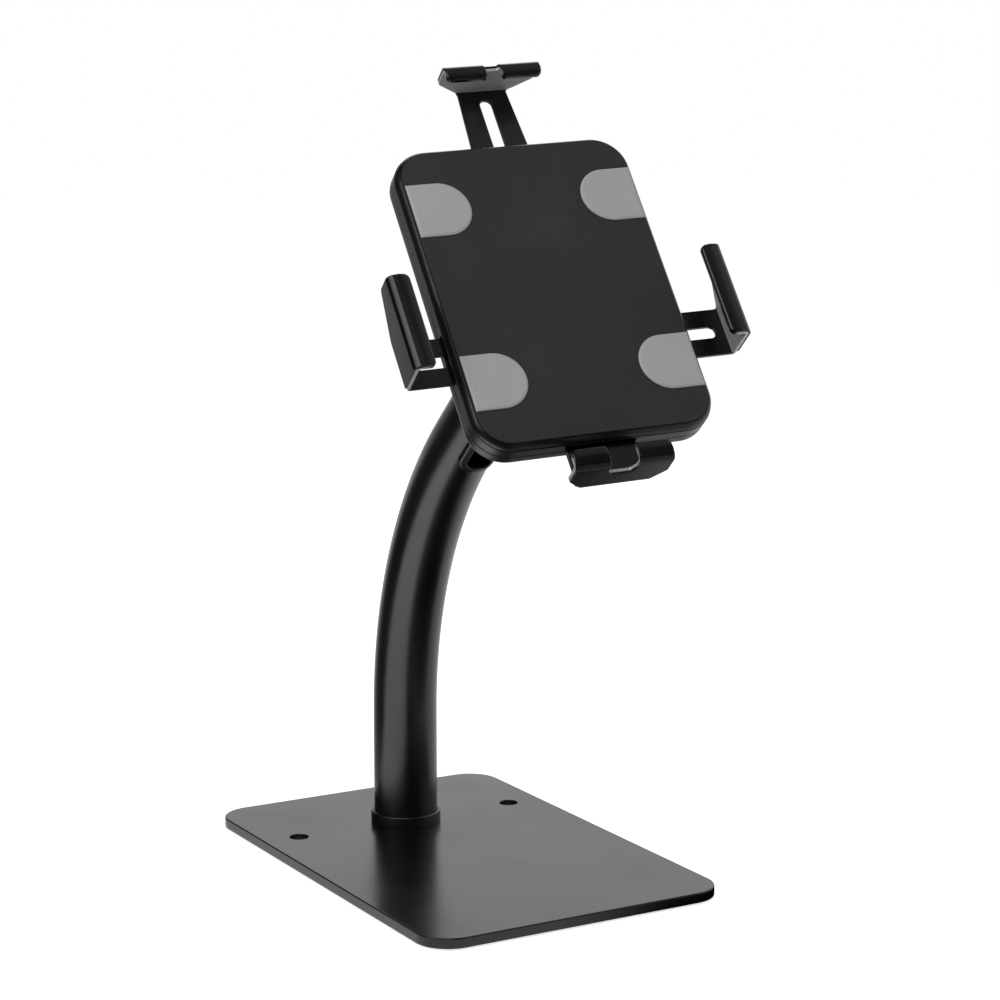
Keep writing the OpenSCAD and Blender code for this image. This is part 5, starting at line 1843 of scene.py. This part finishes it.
# Studio
@dataclass
class Studio:
    """Camera, lamps, floor and surroundings.

    Attributes:
        azimuth: Where the camera stands, in degrees.
        elevation: How high it stands, in degrees.
        distance: Its distance from the point it looks at, in metres.
        target: The point it looks at, in metres.
        lens: Its focal length, in millimetres.
        open_side: Where the studio is white in a reflection, in degrees from the camera.
        open_tilt: How high that side lies, in degrees.
        flagged: How much light is left in a reflection on the side of the flags, where 1 is white.
        painted_dark_patch: The middle of a dark patch painted into the floor's reflection in front of the
            base, a painted reflection of the dark base, in metres.
        patch: The middle of the bright patch of floor at the left of the base, in metres.
        patch_size: Its width and depth, in metres.
        glow: How much the floor shows of itself to the camera beyond its light, so that it reads white.
        ambient: How strongly the surround lights matt surfaces.
        aim: The point that the lamps face, in metres.
    """

    azimuth: float = -30.05
    elevation: float = 10.0
    distance: float = 1.6638
    target: tuple[float, float, float] = (0.066, 0.0, 0.198)
    lens: float = 98.7
    open_side: float = 135.0
    open_tilt: float = -10.0
    flagged: float = 0.05
    painted_dark_patch: tuple[float, float, float] = (0.1, -0.16, 0.0)
    patch: tuple[float, float, float] = (-0.28, -0.11, 0.005)
    patch_size: Flat = (0.34, 0.38)
    glow: float = 0.72
    ambient: float = 0.35
    aim: tuple[float, float, float] = (0.0, -0.1, 0.2)

    def build(self) -> None:
        """Set up the studio."""
        self.camera()
        self.lamps()
        self.floor()
        self.surroundings()
        bpy.context.scene.view_settings.view_transform = "Standard"

    def direction(self, azimuth: float, elevation: float) -> Vector:
        """The direction from the object to something that stands round it.

        Args:
            azimuth: Where it stands, in degrees.
            elevation: How high it stands, in degrees.

        Returns:
            A direction of length 1.
        """
        a, e = math.radians(azimuth), math.radians(elevation)
        return Vector((math.sin(a) * math.cos(e), -math.cos(a) * math.cos(e), math.sin(e)))

    def camera(self) -> None:
        """The camera at the photograph's viewing angle."""
        lens = bpy.data.cameras.new("camera")
        lens.lens = self.lens
        lens.sensor_width = 36
        lens.clip_end = 50
        made = linked("camera", lens)
        back = self.direction(self.azimuth, self.elevation)
        made.location = Vector(self.target) + back * self.distance
        made.rotation_euler = back.to_track_quat("Z", "Y").to_euler()
        bpy.context.scene.camera = made

    def soft_box(self, name: str, size: Flat, power: float) -> bpy.types.Object:
        """A soft box that isn't placed yet.

        Args:
            name: Its name.
            size: Its width and height, in metres.
            power: Its power, in watts.

        Returns:
            The lamp.
        """
        light = bpy.data.lights.new(name, "AREA")
        light.shape = "RECTANGLE"
        light.size, light.size_y = size
        light.energy = power
        return linked(name, light)

    def lamp(
        self, name: str, azimuth: float, elevation: float, distance: float, size: Flat, power: float
    ) -> None:
        """A soft box that faces the object.

        Args:
            name: Its name.
            azimuth: Where it stands, in degrees from the camera's side of the object.
            elevation: How high it stands.
            distance: How far away it stands, in metres.
            size: Its width and height, in metres.
            power: Its power, in watts.
        """
        made = self.soft_box(name, size, power)
        way = self.direction(self.azimuth + azimuth, elevation)
        made.location = Vector(self.aim) + way * distance
        made.rotation_euler = way.to_track_quat("Z", "Y").to_euler()

    def lamps(self) -> None:
        """The soft boxes, and the bright patch of floor that shows as the long highlight of the pole."""
        patch = self.soft_box("bright floor", self.patch_size, 0.85)
        patch.location = self.patch
        patch.rotation_euler = (math.pi, 0, 0)
        patch.visible_diffuse = False
        patch.visible_camera = False
        self.lamp("key", -52, 33, 2.0, (0.9, 1.0), 9)
        self.lamp("fill", -15, 52, 2.3, (1.4, 1.0), 18)
        self.lamp("overhead", 78, 66, 2.0, (1.0, 0.8), 0.6)
        self.lamp("rim", 180, 42, 1.7, (1.2, 0.5), 4)

    def floor(self) -> None:
        """A pale floor that shows white to the camera, keeps the object's shadow and darkens in its gloss,
        with a painted dark patch in front of the base.
        """
        mesh = bmesh.new()
        bmesh.ops.create_circle(mesh, cap_ends=True, segments=96, radius=6.0)
        made = new_object("floor", mesh)
        material = bpy.data.materials.new("studio_floor")
        tree = emptied_tree(material)
        output = add_node(tree, "ShaderNodeOutputMaterial")
        path = add_node(tree, "ShaderNodeLightPath").outputs
        spot = add_node(tree, "ShaderNodeTexCoord").outputs["Object"]
        paper = add_node(tree, "ShaderNodeBsdfDiffuse", {"Color": linear("#e6e6e6")}).outputs[0]
        glow = add_node(tree, "ShaderNodeEmission", {"Color": WHITE, "Strength": self.glow}).outputs[0]
        white = add_node(tree, "ShaderNodeAddShader", {0: paper, 1: glow}).outputs[0]
        seen = add_node(
            tree, "ShaderNodeMath", {0: path["Is Camera Ray"], 1: path["Is Transmission Ray"]},
            operation="MAXIMUM",
        ).outputs[0]
        direct = add_node(tree, "ShaderNodeMixShader", {0: seen, 1: paper, 2: white}).outputs[0]
        level = self.falloff(tree, spot, -0.2, 0.25)
        low, high = (Vector(corner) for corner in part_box("base_plate"))
        over = spot
        for operation, value in (("SUBTRACT", (low + high) / 2), ("ABSOLUTE", None),
                                 ("SUBTRACT", (high - low) / 2), ("MAXIMUM", Vector())):
            feeds = {0: over} if value is None else {0: over, 1: value}
            over = add_node(tree, "ShaderNodeVectorMath", feeds, operation=operation).outputs["Vector"]
        beside = add_node(tree, "ShaderNodeVectorMath", {0: over}, operation="LENGTH").outputs["Value"]
        close = add_node(
            tree, "ShaderNodeMapRange",
            {"Value": beside, "From Min": 0.02, "From Max": 0.06, "To Min": 1.0, "To Max": 0.0},
            interpolation_type="SMOOTHSTEP",
        ).outputs["Result"]
        level = add_node(tree, "ShaderNodeMath", {0: level, 1: close}, operation="MAXIMUM").outputs[0]
        # A dark patch painted into the floor's gloss in front of the base: a painted reflection of the dark
        # base and its shade
        away = add_node(
            tree, "ShaderNodeVectorMath", {0: spot, 1: self.painted_dark_patch}, operation="DISTANCE"
        ).outputs["Value"]
        outside_painted_patch = add_node(
            tree, "ShaderNodeMapRange", {"Value": away, "From Min": 0.06, "From Max": 0.13},
            interpolation_type="SMOOTHSTEP",
        ).outputs["Result"]
        level = add_node(tree, "ShaderNodeMath", {0: level, 1: outside_painted_patch}, operation="MULTIPLY").outputs[0]
        mirrored = add_node(tree, "ShaderNodeEmission", {"Color": WHITE, "Strength": level}).outputs[0]
        mixed = add_node(
            tree, "ShaderNodeMixShader", {0: path["Is Glossy Ray"], 1: direct, 2: mirrored}
        ).outputs[0]
        tree.links.new(mixed, output.inputs["Surface"])
        made.data.materials.append(material)

    def falloff(
        self, tree: bpy.types.NodeTree, way: bpy.types.NodeSocket, dark: float, light: float
    ) -> bpy.types.NodeSocket:
        """How white the studio is in a reflection: white on its open side, dim on the side of the flags.

        Args:
            tree: The tree that gets the nodes.
            way: A direction or a place, in Object coordinates.
            dark: How far along the open side the dim part ends.
            light: How far along the open side the white part begins.

        Returns:
            A value socket, 1 where it is white.
        """
        along = add_node(
            tree, "ShaderNodeVectorMath",
            {0: way, 1: self.direction(self.azimuth + self.open_side, self.open_tilt)},
            operation="DOT_PRODUCT",
        ).outputs["Value"]
        return add_node(
            tree, "ShaderNodeMapRange",
            {"Value": along, "From Min": dark, "From Max": light, "To Min": self.flagged, "To Max": 1.0},
            interpolation_type="SMOOTHSTEP",
        ).outputs["Result"]

    def surroundings(self) -> None:
        """A white surround that lights the object only a little."""
        world = bpy.data.worlds.new("studio")
        bpy.context.scene.world = world
        tree = emptied_tree(world)
        output = add_node(tree, "ShaderNodeOutputWorld")
        way = add_node(tree, "ShaderNodeTexCoord").outputs["Object"]
        mirrored = self.falloff(tree, way, 0.0, 0.6)
        path = add_node(tree, "ShaderNodeLightPath").outputs
        gloss = add_node(
            tree, "ShaderNodeMath", {0: mirrored, 1: path["Is Glossy Ray"]}, operation="MULTIPLY"
        ).outputs[0]
        direct = add_node(
            tree, "ShaderNodeMath", {0: path["Is Camera Ray"], 1: path["Is Transmission Ray"]},
            operation="MAXIMUM",
        ).outputs[0]
        shown = add_node(tree, "ShaderNodeMath", {0: gloss, 1: direct}, operation="MAXIMUM").outputs[0]
        lit = add_node(
            tree, "ShaderNodeMath", {0: path["Is Diffuse Ray"], 1: self.ambient}, operation="MULTIPLY"
        ).outputs[0]
        level = add_node(tree, "ShaderNodeMath", {0: shown, 1: lit}, operation="MAXIMUM").outputs[0]
        light = add_node(tree, "ShaderNodeBackground", {"Color": WHITE, "Strength": level}).outputs[0]
        tree.links.new(light, output.inputs["Surface"])


def main() -> None:
    """Build the stand in order and report its pieces."""
    logging.basicConfig(level=logging.INFO, format="%(name)s: %(message)s")
    Studio().build()
    workshop = Workshop()
    place = head_place()
    Stand(workshop).build()
    Case(workshop, place).build()
    for hook in HOOKS:
        Bracket(workshop, place, hook).build()
    Turntable(workshop, place).build()


if __name__ == "__main__":
    main()
